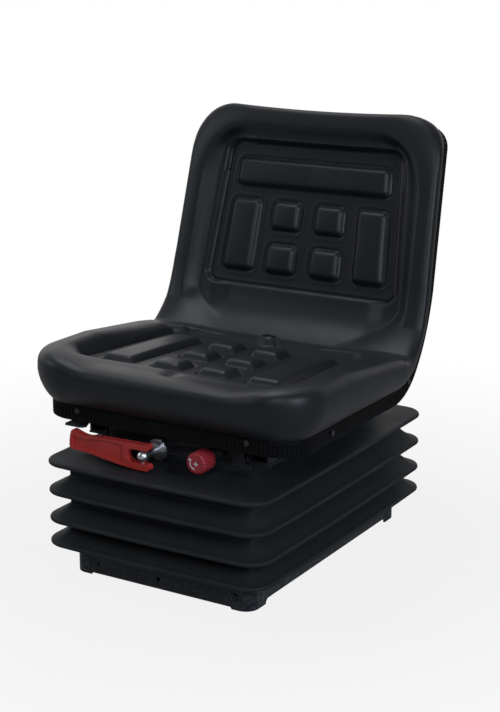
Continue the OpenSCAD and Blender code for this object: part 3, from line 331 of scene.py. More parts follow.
class NodeKit:
    """Short ways to add and join shader nodes in one tree."""

    def __init__(self, tree: bpy.types.NodeTree) -> None:
        """Keeps the tree.

        Args:
            tree: Node tree that is filled.
        """
        self.tree = tree

    def add(self, kind: str, **values: object) -> bpy.types.Node:
        """Adds a node and sets its inputs.

        Args:
            kind: Node type without its ShaderNode prefix.
            **values: Properties, and inputs named with underscores for spaces.

        Returns:
            The new node.
        """
        node = self.tree.nodes.new("ShaderNode" + kind)
        for name, value in values.items():
            if hasattr(node, name):
                setattr(node, name, value)
            else:
                self.feed(node.inputs[name.replace("_", " ")], value)
        return node

    def feed(self, socket: bpy.types.NodeSocket, value: object) -> None:
        """Joins a socket to an output, or sets its constant.

        Args:
            socket: Input to feed.
            value: Output socket, number or colour.
        """
        if isinstance(value, bpy.types.NodeSocket):
            self.tree.links.new(value, socket)
        else:
            socket.default_value = value

    def math(self, operation: str, a: object, b: object = 0.0) -> bpy.types.NodeSocket:
        """Adds a Math node.

        Args:
            operation: Blender's name for the sum.
            a: First value or socket.
            b: Second value or socket.

        Returns:
            Its output.
        """
        node = self.add("Math", operation=operation)
        self.feed(node.inputs[0], a)
        self.feed(node.inputs[1], b)
        return node.outputs[0]

    def blend(self, share: object, a: object, b: object) -> bpy.types.NodeSocket:
        """Adds a colour mix.

        Args:
            share: Share of b.
            a: First colour or socket.
            b: Second colour or socket.

        Returns:
            The mixed colour.
        """
        node = self.add("Mix", data_type="RGBA")
        self.feed(node.inputs[0], share)
        self.feed(node.inputs[6], a)
        self.feed(node.inputs[7], b)
        return node.outputs[2]

    def span(self, value: object, low: float, high: float, to_low: float = 0.0,
             to_high: float = 1.0) -> bpy.types.NodeSocket:
        """Adds a clamped map range.

        Args:
            value: Value or socket.
            low: Lowest value in.
            high: Highest value in.
            to_low: Value out at low.
            to_high: Value out at high.

        Returns:
            The mapped value.
        """
        node = self.add("MapRange")
        for i, v in enumerate((value, low, high, to_low, to_high)):
            self.feed(node.inputs[i], v)
        return node.outputs[0]


class EffectGroup:
    """A node group with named inputs and outputs that several finishes share."""

    def __init__(self, name: str, inputs: dict[str, float], outputs: Iterable[str],
                 fill: Callable[[NodeKit, dict[str, bpy.types.NodeSocket]], dict[str, bpy.types.NodeSocket]],
                 ) -> None:
        """Builds the group.

        Args:
            name: Name of the group.
            inputs: Input names with their usual values.
            outputs: Output names.
            fill: Adds the nodes and returns the output sockets by name.
        """
        self.tree = bpy.data.node_groups.new(name, "ShaderNodeTree")
        for key, value in inputs.items():
            made = self.tree.interface.new_socket(key, in_out="INPUT", socket_type="NodeSocketFloat")
            made.default_value = value
        for key in outputs:
            self.tree.interface.new_socket(key, in_out="OUTPUT", socket_type="NodeSocketFloat")
        kit = NodeKit(self.tree)
        entry = self.tree.nodes.new("NodeGroupInput")
        leave = self.tree.nodes.new("NodeGroupOutput")
        for key, socket in fill(kit, {k: entry.outputs[k] for k in inputs}).items():
            self.tree.links.new(socket, leave.inputs[key])

    def use(self, kit: NodeKit, **values: object) -> bpy.types.Node:
        """Places the group in a material.

        Args:
            kit: Kit of the material's tree.
            **values: Input values by name.

        Returns:
            The group node.
        """
        node = kit.tree.nodes.new("ShaderNodeGroup")
        node.node_tree = self.tree
        for key, value in values.items():
            kit.feed(node.inputs[key], value)
        return node


def scaled_place(kit: NodeKit, size: object, stretch: Point = (1, 1, 1)) -> bpy.types.NodeSocket:
    """Object coordinates divided by a size in millimetres.

    Args:
        kit: Kit of the tree.
        size: Size of the pattern in millimetres.
        stretch: Extra factor along each axis.

    Returns:
        The scaled vector.
    """
    where = kit.add("TexCoord").outputs["Object"]
    near = kit.add("VectorMath", operation="MULTIPLY")
    kit.feed(near.inputs[0], where)
    kit.feed(near.inputs[1], tuple(1000.0 * s for s in stretch))
    scale = kit.add("VectorMath", operation="SCALE")
    kit.feed(scale.inputs[0], near.outputs[0])
    kit.feed(scale.inputs["Scale"], kit.math("DIVIDE", 1.0, size))
    return scale.outputs[0]


def fill_pebble(kit: NodeKit, given: dict[str, bpy.types.NodeSocket]) -> dict[str, bpy.types.NodeSocket]:
    """Pebbled vinyl grain: small rounded cells with soft creases.

    Args:
        kit: Kit of the group's tree.
        given: Input sockets.

    Returns:
        Output sockets.
    """
    place = scaled_place(kit, given["Size"])
    wander = kit.add("TexNoise", Vector=place, Scale=0.6, Detail=2.0)
    shifted = kit.add("Mix", data_type="VECTOR")
    shifted.inputs[0].default_value = 0.12
    kit.feed(shifted.inputs[4], place)
    kit.feed(shifted.inputs[5], wander.outputs["Color"])
    cells = kit.add("TexVoronoi", feature="SMOOTH_F1", Vector=shifted.outputs[1], Scale=1.0, Smoothness=0.4)
    dome = kit.math("SUBTRACT", 1.0, cells.outputs["Distance"])
    fine = kit.add("TexNoise", Vector=place, Scale=2.6, Detail=3.0)
    height = kit.math("ADD", kit.math("MULTIPLY", dome, 0.8), kit.math("MULTIPLY", fine.outputs["Fac"], 0.3))
    return {"Height": height, "Crease": kit.span(cells.outputs["Distance"], 0.35, 0.8)}


def fill_matt(kit: NodeKit, given: dict[str, bpy.types.NodeSocket]) -> dict[str, bpy.types.NodeSocket]:
    """Even fine noise, as on moulded rubber and sprayed paint.

    Args:
        kit: Kit of the group's tree.
        given: Input sockets.

    Returns:
        Output sockets.
    """
    noise = kit.add("TexNoise", Vector=scaled_place(kit, given["Size"]), Scale=1.0, Detail=5.0,
                    Roughness=0.6)
    return {"Height": noise.outputs["Fac"], "Crease": kit.span(noise.outputs["Fac"], 0.5, 0.75)}


def fill_brushed(kit: NodeKit, given: dict[str, bpy.types.NodeSocket]) -> dict[str, bpy.types.NodeSocket]:
    """Turning and drawing marks on bright metal.

    Args:
        kit: Kit of the group's tree.
        given: Input sockets.

    Returns:
        Output sockets.
    """
    lines = kit.add("TexNoise", Vector=scaled_place(kit, given["Size"], (0.15, 1, 1)), Scale=1.0,
                    Detail=4.0)
    clouds = kit.add("TexNoise", Vector=scaled_place(kit, given["Size"]), Scale=0.09, Detail=3.0)
    return {"Height": lines.outputs["Fac"], "Crease": kit.span(clouds.outputs["Fac"], 0.42, 0.62)}


def fill_wear(kit: NodeKit, given: dict[str, bpy.types.NodeSocket]) -> dict[str, bpy.types.NodeSocket]:
    """Rubbed edges: bright where the surface turns outwards, broken up by noise.

    Args:
        kit: Kit of the group's tree.
        given: Input sockets.

    Returns:
        Output sockets.
    """
    edge = kit.span(kit.add("NewGeometry").outputs["Pointiness"], 0.505, 0.56)
    patches = kit.add("TexNoise", Vector=scaled_place(kit, given["Size"]), Scale=1.0, Detail=6.0)
    broken = kit.span(patches.outputs["Fac"], 0.45, 0.62)
    return {"Mask": kit.math("MULTIPLY", kit.math("MULTIPLY", edge, broken), given["Amount"])}


def fill_dust(kit: NodeKit, given: dict[str, bpy.types.NodeSocket]) -> dict[str, bpy.types.NodeSocket]:
    """Thin dust that lies on faces that look up.

    Args:
        kit: Kit of the group's tree.
        given: Input sockets.

    Returns:
        Output sockets.
    """
    normal = kit.add("NewGeometry").outputs["Normal"]
    up = kit.add("SeparateXYZ", Vector=normal).outputs["Z"]
    clouds = kit.add("TexNoise", Vector=scaled_place(kit, given["Size"]), Scale=1.0, Detail=6.0)
    lying = kit.math("MULTIPLY", kit.span(up, 0.1, 0.95), kit.span(clouds.outputs["Fac"], 0.3, 0.75))
    return {"Mask": kit.math("MULTIPLY", lying, given["Amount"])}


@dataclass
class EffectSet:
    """The shared node groups, built once."""

    grains: dict[Grain, EffectGroup] = field(default_factory=dict)
    wear: EffectGroup | None = None
    dust: EffectGroup | None = None

    def build(self) -> None:
        """Builds every group."""
        fills = {Grain.PEBBLE: fill_pebble, Grain.MATT: fill_matt, Grain.BRUSHED: fill_brushed}
        for kind, fill in fills.items():
            self.grains[kind] = EffectGroup(f"{kind.value}_grain", {"Size": 1.0}, ("Height", "Crease"), fill)
        self.wear = EffectGroup("edge_wear", {"Size": 6.0, "Amount": 0.3}, ("Mask",), fill_wear)
        self.dust = EffectGroup("settled_dust", {"Size": 40.0, "Amount": 0.1}, ("Mask",), fill_dust)


@dataclass(frozen=True)
class Finish:
    """A surface finish and the numbers that make it.

    Lengths are in millimetres. The colour drifts between colour and shade over a few centimetres.
    """

    name: str
    colour: Colour
    shade: Colour
    roughness: float
    roughness_spread: float = 0.08
    metallic: float = 0.0
    specular: float = 0.5
    sheen: float = 0.0
    coat: float = 0.0
    grain: Grain = Grain.MATT
    grain_size: float = 1.0
    grain_depth: float = 0.04
    crease_tint: float = 0.0
    wear: float = 0.0
    wear_colour: Colour = (0.3, 0.31, 0.33)
    dust: float = 0.0
    dust_colour: Colour = (0.2, 0.19, 0.18)

    def material(self, effects: EffectSet) -> bpy.types.Material:
        """Builds the material.

        Args:
            effects: Shared node groups.

        Returns:
            The material.
        """
        made = bpy.data.materials.new(self.name)
        made.use_nodes = True
        kit = NodeKit(made.node_tree)
        shader = made.node_tree.nodes["Principled BSDF"]
        grain = effects.grains[self.grain].use(kit, Size=self.grain_size)
        wear = effects.wear.use(kit, Amount=self.wear).outputs["Mask"]
        dust = effects.dust.use(kit, Amount=self.dust).outputs["Mask"]
        drift = kit.add("TexNoise", Vector=scaled_place(kit, 45.0), Scale=1.0, Detail=4.0)
        drift_share = kit.span(drift.outputs["Fac"], 0.3, 0.7)
        colour = kit.blend(drift_share, (*self.colour, 1), (*self.shade, 1))
        darker = tuple(c * (1 - self.crease_tint) for c in self.shade)
        colour = kit.blend(grain.outputs["Crease"], colour, kit.blend(0.5, colour, (*darker, 1)))
        colour = kit.blend(wear, colour, (*self.wear_colour, 1))
        colour = kit.blend(dust, colour, (*self.dust_colour, 1))
        kit.feed(shader.inputs["Base Color"], colour)
        spread = kit.math("MULTIPLY", kit.math("SUBTRACT", drift_share, 0.5), self.roughness_spread)
        rough = kit.math("ADD", spread, self.roughness)
        rough = kit.math("ADD", rough, kit.math("MULTIPLY", dust, 0.4))
        kit.feed(shader.inputs["Roughness"], rough)
        shader.inputs["Metallic"].default_value = self.metallic
        shader.inputs["Specular IOR Level"].default_value = self.specular
        shader.inputs["Sheen Weight"].default_value = self.sheen
        shader.inputs["Coat Weight"].default_value = self.coat
        bump = kit.add("Bump", Distance=self.grain_depth * MM, Strength=1.0)
        kit.feed(bump.inputs["Height"], grain.outputs["Height"])
        kit.feed(shader.inputs["Normal"], bump.outputs["Normal"])
        return made


FINISHES = {
    Slot.VINYL_SKIN: Finish("grained_vinyl", (0.0135, 0.0145, 0.0172), (0.011, 0.012, 0.0145), 0.42,
                            roughness_spread=0.05, specular=0.27, grain=Grain.PEBBLE, grain_size=1.1,
                            grain_depth=0.05, crease_tint=0.3, dust=0.02),
    Slot.BELLOWS_RUBBER: Finish("moulded_rubber", (0.0215, 0.0235, 0.0265), (0.017, 0.0188, 0.0215), 0.60,
                                specular=0.16, grain_size=0.9, grain_depth=0.10, crease_tint=0.3,
                                dust=0.05, dust_colour=(0.07, 0.072, 0.078)),
    Slot.TRIM_PLASTIC: Finish("ribbed_plastic", (0.006, 0.0062, 0.0068), (0.0045, 0.0047, 0.005), 0.52,
                              specular=0.06, grain_size=0.5, grain_depth=0.03),
    Slot.PAINTED_STEEL: Finish("black_paint", (0.011, 0.0145, 0.019), (0.0095, 0.0125, 0.0165), 0.40,
                               specular=0.3, grain_size=1.6, grain_depth=0.03, wear=0.04, dust=0.01,
                               dust_colour=(0.05, 0.05, 0.055)),
    Slot.BUMP_RUBBER: Finish("stop_rubber", (0.012, 0.012, 0.013), (0.009, 0.009, 0.01), 0.7,
                             specular=0.2, grain_depth=0.08),
    Slot.ZINC_STEEL: Finish("zinc_plate", (0.78, 0.80, 0.86), (0.58, 0.61, 0.66), 0.34, metallic=1.0,
                            grain=Grain.BRUSHED, grain_size=0.35, grain_depth=0.015, crease_tint=0.35,
                            roughness_spread=0.15),
    Slot.NYLON: Finish("natural_nylon", (0.6, 0.6, 0.55), (0.5, 0.5, 0.45), 0.5, grain_depth=0.02,
                       grain_size=2.0),
    Slot.SPRING_STEEL: Finish("oiled_spring_steel", (0.05, 0.052, 0.056), (0.03, 0.031, 0.034), 0.38,
                              metallic=0.8, grain=Grain.BRUSHED, grain_size=0.5, grain_depth=0.01),
    Slot.CRANK_RED: Finish("red_plastic", (0.54, 0.044, 0.038), (0.46, 0.036, 0.032), 0.36,
                           specular=0.35, grain_size=1.2, grain_depth=0.025, wear=0.12,
                           wear_colour=(0.5, 0.12, 0.1), dust=0.03, dust_colour=(0.3, 0.2, 0.19)),
    Slot.KNOB_RED: Finish("crimson_plastic", (0.40, 0.034, 0.045), (0.33, 0.027, 0.038), 0.34,
                          specular=0.35, grain_size=1.2, grain_depth=0.025, wear=0.12,
                          wear_colour=(0.45, 0.1, 0.12), dust=0.03, dust_colour=(0.3, 0.18, 0.18)),
}
BASE_PAINT = Finish("base_paint", (0.012, 0.0155, 0.021), (0.0105, 0.0135, 0.0185), 0.42, specular=0.3,
                    grain_size=1.8, grain_depth=0.04, wear=0.15, dust=0.03, dust_colour=(0.11, 0.12, 0.13))
MARK_PAINT = Finish("mark_paint", (0.72, 0.70, 0.68), (0.6, 0.58, 0.56), 0.5, grain_depth=0.02)


# Seat


@dataclass
class ShellPath:
    """Line that the seat shell follows, from its front edge to the top of the backrest."""

    front_y: float = -208.0
    pan_z: float = 225.0
    seat_run: float = 284.0
    bends: tuple[Flat, ...] = ((88.0, 50.0), (230.0, 20.0), (400.0, 6.0))
    back_run: float = 238.0
    seat_half: float = 204.0
    back_half: float = 196.0
    front_corner: float = 48.0
    top_corner: float = 30.0

    def __post_init__(self) -> None:
        """Works out where each bend starts."""
        self.starts: list[tuple[float, float, float, float, float]] = []
        s, y, z, a = self.seat_run, self.front_y + self.seat_run, self.pan_z, 0.0
        for r, turn in self.bends:
            self.starts.append((s, y, z, a, r))
            end = a + math.radians(turn)
            y += r * (math.sin(end) - math.sin(a))
            z += r * (math.cos(a) - math.cos(end))
            s += r * math.radians(turn)
            a = end
        self.back_start = (s, y, z, a)
        self.s_bend3 = self.starts[-1][0]
        self.s_back = s
        self.s_top = s + self.back_run

    def on_shell(self, x: np.ndarray, s: np.ndarray, h: np.ndarray) -> np.ndarray:
        """Points at sideways x, run s and height h above the shell.

        Args:
            x: Sideways places.
            s: Runs from the front edge.
            h: Heights above the shell.

        Returns:
            Points with three coordinates on the last axis.
        """
        x, s, h = np.broadcast_arrays(*(np.asarray(v, float) for v in (x, s, h)))
        y, z, a = self.front_y + s, np.full(s.shape, self.pan_z), np.zeros(s.shape)
        for start, y0, z0, a0, r in self.starts:
            turned = a0 + (s - start) / r
            here = s > start
            y = np.where(here, y0 + r * (np.sin(turned) - math.sin(a0)), y)
            z = np.where(here, z0 + r * (math.cos(a0) - np.cos(turned)), z)
            a = np.where(here, turned, a)
        start, y0, z0, a0 = self.back_start
        here = s > start
        y = np.where(here, y0 + (s - start) * math.cos(a0), y)
        z = np.where(here, z0 + (s - start) * math.sin(a0), z)
        a = np.where(here, a0, a)
        return np.stack([x, y - h * np.sin(a), z + h * np.cos(a)], axis=-1)

    def half_width(self, s: np.ndarray | float) -> np.ndarray | float:
        """Half width of the shell at run s.

        Args:
            s: Run from the front edge.

        Returns:
            Half width.
        """
        return mix(self.seat_half, self.back_half, np.maximum(s - self.s_back, 0) / self.back_run)

    def bend_share(self, s: np.ndarray | float) -> np.ndarray | float:
        """How far the bend from seat to backrest has gone, from 0 to 1."""
        return smooth((s - self.seat_run) / (self.s_bend3 - self.seat_run))


@dataclass
class Cushion:
    """One-piece cushion: a fat roll round two recessed panels with raised pads."""

    path: ShellPath
    rim_start: float = -66.0
    inner_inset: float = 10.0
    widest: float = 0.62
    squareness: float = 0.6
    bulges: tuple[Flat, ...] = ((0.0, 23.0), (288.0, 23.0), (505.0, 15.0), (721.0, 13.0))
    crests: tuple[Flat, ...] = ((120.0, 90.0), (256.0, 76.0), (416.0, 50.0), (721.0, 48.0))
    front_dip: float = 13.0
    roll_corners: Flat = (52.0, 110.0)
    trim_top: float = 15.5
    pad_rise: float = 8.0
    pad_corner: float = 9.0
    pad_crown: float = 1.6
    seat_panel: Flat = (43.0, 284.0)
    panel_corner: float = 22.0
    wall: float = 5.2
    top_dip: float = 4.0
    rim_steps: int = 18
    columns_inside: int = 199
    rows_inside: int = 330
    panel_share: float = 0.8

    def __post_init__(self) -> None:
        """Works out the panels and pads from the path."""
        back = self.path.s_back
        self.back_panel = (back - 30, self.path.s_top - 38)
        self.back_rows = (back - 3, back + 63)
        self.pads = (
            [(89, 140, 65, 244)]
            + [(13, 60, 65 + i * 70, 109 + i * 70) for i in range(3)]
            + [(88, 142, self.back_rows[0], self.back_rows[1] + 45)]
            + [(13, 65, s, s + 45) for s in self.back_rows]
            + [(-20, 141, back + 128, back + 171)])

    def rim_angle(self, k: np.ndarray) -> np.ndarray:
        """Angle round the roll at ring k, in radians."""
        return np.radians(mix(self.rim_start, 90.0, (k - 1) / (self.rim_steps - 1)))

    def bulge_at(self, s: np.ndarray) -> np.ndarray:
        """Bulge of the roll past the trim at run s."""
        return np.interp(s, *zip(*self.bulges))

    def rim_inset(self, k: np.ndarray, s: np.ndarray) -> np.ndarray:
        """How far inside the trim line ring k lies at run s.

        Args:
            k: Ring numbers.
            s: Runs.

        Returns:
            Insets, negative where the roll bulges out.
        """
        turn, bulge = 1 - np.cos(self.rim_angle(k)), self.bulge_at(s)
        under = -bulge * (1 - (turn / (1 - math.cos(math.radians(self.rim_start)))) ** 0.8)
        over = -bulge + (self.inner_inset + bulge) * (1 - np.maximum(1 - turn, 0) ** self.squareness)
        return np.where(k < 0.5, 0.0, np.where(self.rim_angle(k) < 0, under, over))

    def rim_height(self, k: np.ndarray, top: np.ndarray) -> np.ndarray:
        """Height of ring k above the shell, under a given roll top."""
        rise = np.sin(self.rim_angle(k))
        below = self.widest * (1 - rise / math.sin(math.radians(self.rim_start)))
        above = self.widest + (1 - self.widest) * np.maximum(rise, 0) ** self.squareness
        share = np.where(rise < 0, below, above)
        return np.where(k < 0.5, 0.0, mix(self.trim_top + GAP, top, share))

    def roll_height(self, x: np.ndarray, s: np.ndarray) -> np.ndarray:
        """Height of the roll's top above the shell: lower on the backrest and between the front corners."""
        middle = 1 - smooth((np.abs(x) - 110) / 80)
        return np.interp(s, *zip(*self.crests)) - self.front_dip * middle * (1 - smooth((s - 20) / 60))

    def ring_corner(self, k: np.ndarray, front: np.ndarray) -> np.ndarray:
        """Corner radius of the outline at ring k, larger up on the roll."""
        share = smooth((k / self.rim_steps - 0.15) / 0.85)
        path = self.path
        return np.where(front, mix(path.front_corner, self.roll_corners[0], share),
                        mix(path.top_corner, self.roll_corners[1], share))

    def floor_height(self, s: np.ndarray) -> np.ndarray:
        """Height of the panels' floor above the shell at run s."""
        seat = mix(70.5, 58.5, np.clip((s - 40) / 250, 0, 1))
        return np.where(s < self.path.seat_run, seat, mix(58.5, 25, self.path.bend_share(s)))

    def panel_half(self, s: np.ndarray) -> np.ndarray:
        """Half width of the panels' openings at run s."""
        return np.interp(s, (60, 267, *self.back_panel), (176, 166, 168, 151))

    @staticmethod
    def rounded(dx: np.ndarray, ds: np.ndarray, r: float) -> np.ndarray:
        """Distance outside a rectangle with round corners.

        Args:
            dx: Distance outside its side edges.
            ds: Distance outside its end edges.
            r: Corner radius.

        Returns:
            Distance, negative inside.
        """
        a, b = dx + r, ds + r
        return np.minimum(np.maximum(a, b), 0) + np.hypot(np.maximum(a, 0), np.maximum(b, 0)) - r

    def pad_relief(self, x: np.ndarray, s: np.ndarray) -> np.ndarray:
        """Height that the pads add at x and s, with the fine groove round each pad."""
        ax = np.abs(x) * self.panel_half(self.back_panel[0]) / self.panel_half(s)
        relief = np.zeros(x.shape)
        for x0, x1, s0, s1 in self.pads:
            d = self.rounded(np.abs(ax - (x0 + x1) / 2) - (x1 - x0) / 2,
                             np.abs(s - (s0 + s1) / 2) - (s1 - s0) / 2, self.pad_corner)
            up = 1 - (1 - np.clip(-d / 9.5, 0, 1)) ** 2.3
            u, v = (2 * (ax - x0) / (x1 - x0) - 1), (2 * (s - s0) / (s1 - s0) - 1)
            crown = self.pad_crown * (1 - np.minimum(u * u, 1)) * (1 - np.minimum(v * v, 1))
            groove = -1.1 * np.exp(-(((d - 1.6) / 1.5) ** 2))
            lip = 0.5 * np.exp(-(((d - 5.2) / 1.6) ** 2))
            relief = relief + np.where(d < 0, self.pad_rise * up + crown, 0) + groove + lip
        return relief

    def face_height(self, x: np.ndarray, s: np.ndarray, away: np.ndarray) -> np.ndarray:
        """Height of the cushion's face inside the roll.

        Args:
            x: Sideways places.
            s: Runs.
            away: Distances from the shell's edge.

        Returns:
            Heights above the shell.
        """
        ax, half = np.abs(x), self.panel_half(s)
        low, high = self.seat_panel[0], self.back_panel[1]
        between = smooth((s - self.seat_panel[1] + 20) / 50) * smooth((self.back_panel[0] - 4 - s) / 110)
        on_back = smooth((s - self.seat_panel[1]) / 60)
        outside = self.rounded(ax - half + 100 * between, np.maximum(low - s, s - high), self.panel_corner)
        outside = np.maximum(outside - 3 * on_back, 0)
        inwards = np.maximum(away - self.inner_inset, 0)
        rise = outside / np.maximum(outside + inwards, 1e-6)
        to_roll = mix(1 - (1 - rise) ** 2, smooth(rise), on_back)
        spout = np.hypot(x, s - self.seat_panel[1] - 3) - 17
        edges = [self.rounded(ax - half, np.abs(s - (a + b) / 2) - (b - a) / 2, self.panel_corner)
                 for a, b in (self.seat_panel, self.back_panel)]
        edges[0] = -np.logaddexp(-edges[0] / 3, -spout / 3) * 3
        inside = np.minimum(*edges)
        at_side = smooth((ax - half + 50) / 35)
        seat_step = mix(6, mix(6, 8, smooth((s - 60) / 200)), at_side)
        back_step = mix(mix(2, 13, smooth((s - self.back_panel[0] - 60) / 150)), 8, at_side)
        shoulder = self.floor_height(s) + np.where(s < self.path.seat_run, seat_step, back_step)
        lumbar = mix(64.5, self.floor_height(self.back_panel[0]) + 3, self.path.bend_share(s))
        shoulder = mix(shoulder, lumbar, between * (1 - at_side * (s < self.path.seat_run)))
        in_panel = smooth(-inside / self.wall)
        level = mix(shoulder, self.floor_height(s), in_panel)
        bead = 0.7 * np.exp(-(((inside + self.wall + 4) / 1.6) ** 2))
        bead = bead - 1.3 * np.exp(-(((inside + self.wall) / 2.4) ** 2))
        level = level + bead + smooth((-inside - self.wall) / 3) * self.pad_relief(x, s)
        drain = 4.0 * np.exp(-((x / 12) ** 2)) * smooth((s - 10) / 16) * smooth((48 - s) / 10)
        level = level + 13 * smooth((23 - np.hypot(x, s - self.seat_panel[1] - 6)) / 12)
        return mix(level, self.roll_height(x, s), to_roll) - drain

    def grid(self) -> np.ndarray:
        """Places of the cushion's skin as rows and columns of points.

        Returns:
            Array of rows, columns and coordinates in millimetres.
        """
        path, k_max = self.path, self.rim_steps
        rings = np.arange(k_max + 1.0)
        spread = self.inner_inset * rings / k_max
        none = 1e3
        inner_s = np.linspace(self.inner_inset, path.s_top - self.inner_inset, self.rows_inside + 2)[1:-1]
        row_s = np.concatenate([spread, inner_s, (path.s_top - spread)[::-1]])[:, None]
        row_ring = np.concatenate([rings, np.full(self.rows_inside, none), rings[::-1]])[:, None]
        u = np.linspace(-1, 1, self.columns_inside + 2)[None, 1:-1]
        col_ring = np.concatenate([rings, np.full(self.columns_inside, none), rings[::-1]])[None, :]
        edge = path.half_width(row_s)
        half = self.panel_half(row_s)
        past = np.maximum(np.abs(u) - self.panel_share, 0) / (1 - self.panel_share)
        inner_x = np.minimum(np.abs(u) / self.panel_share, 1) * half + past * (edge - self.inner_inset - half)
        x = np.concatenate([-(edge - spread[None, :]), np.sign(u) * inner_x, edge - spread[None, ::-1]], axis=1)
        s = np.broadcast_to(row_s, x.shape)
        ring = np.minimum(row_ring, col_ring)
        front = s < path.s_top / 2
        depth = np.minimum(edge - np.abs(x), np.minimum(s, path.s_top - s))
        inner = mix(self.ring_corner(np.array(float(k_max)), front), path.front_corner,
                    smooth((depth - self.inner_inset) / 130))
        r = np.where(ring < none, self.ring_corner(np.minimum(ring, k_max), front), inner)
        end_s = np.where(front, r, path.s_top - r)
        side_s = np.where(front, -1.0, 1.0)
        end_w = path.half_width(end_s) - r
        dx = np.maximum(0, np.abs(x) - end_w)
        ds = np.maximum(0, np.maximum(r - s, s - (path.s_top - r)))
        away = np.where(ring >= none, r - np.maximum(dx, ds), self.rim_inset(ring, s))
        reach = (r - away) / np.maximum(np.hypot(dx, ds), 1e-6)
        corner = (dx > 0) & (ds > 0)
        on_row = (ring < none) & (row_ring <= col_ring)
        on_col = (ring < none) & (row_ring > col_ring)
        px = np.where(on_col, np.sign(x) * (edge - away), x)
        ps = np.where(on_row, np.where(side_s < 0, away, path.s_top - away), s)
        px = np.where(corner, np.sign(x) * (end_w + dx * reach), px)
        ps = np.where(corner, end_s + side_s * ds * reach, ps)
        flat_away = np.minimum(path.half_width(ps) - np.abs(px), np.minimum(ps, path.s_top - ps))
        away = np.where(corner, away, flat_away)
        h = np.where(ring < none, self.rim_height(ring, self.roll_height(px, ps)),
                     self.face_height(px, ps, away))
        dip = self.top_dip * smooth((ps - path.s_top + 70) / 70) * np.clip(1 - (px / 150) ** 2, 0, 1)
        return path.on_shell(px, ps - dip * smooth((h - 4) / 12), h)

    def build(self) -> bpy.types.Object:
        """Shapes a grid into the cushion and closes it underneath.

        Returns:
            The cushion.
        """
        points = self.grid()
        rows, columns = points.shape[:2]
        bpy.ops.object.select_all(action="DESELECT")
        bpy.ops.mesh.primitive_grid_add(x_subdivisions=columns - 1, y_subdivisions=rows - 1, size=2)
        obj = bpy.context.object
        obj.name = obj.data.name = "cushion_skin"
        flat = np.array([v.co for v in obj.data.vertices])
        i = np.rint((flat[:, 1] + 1) / 2 * (rows - 1)).astype(int)
        j = np.rint((flat[:, 0] + 1) / 2 * (columns - 1)).astype(int)
        obj.data.vertices.foreach_set("co", (points[i, j] * MM).ravel())
        obj.data.update()
        index = {(a, b): n for n, (a, b) in enumerate(zip(i.tolist(), j.tolist()))}
        shape = bmesh.new()
        shape.from_mesh(obj.data)
        shape.verts.ensure_lookup_table()
        left = [shape.verts[index[a, 0]] for a in range(rows)]
        right = [shape.verts[index[a, columns - 1]] for a in range(rows)]
        for a in range(rows - 1):
            shape.faces.new((left[a], right[a], right[a + 1], left[a + 1]))
        for a in (0, rows - 1):
            shape.faces.new([shape.verts[index[a, b]] for b in range(columns)])
        bmesh.ops.recalc_face_normals(shape, faces=shape.faces)
        shape.to_mesh(obj.data)
        shape.free()
        return finish_mesh(obj, 50)

    def dress(self, obj: bpy.types.Object, materials: dict[Slot, bpy.types.Material]) -> None:
        """Args:
            obj: The cushion.
            materials: Materials by slot.
        """
        place_piece(obj, Body.SEAT, Slot.VINYL_SKIN, materials[Slot.VINYL_SKIN], "seat_cushion")


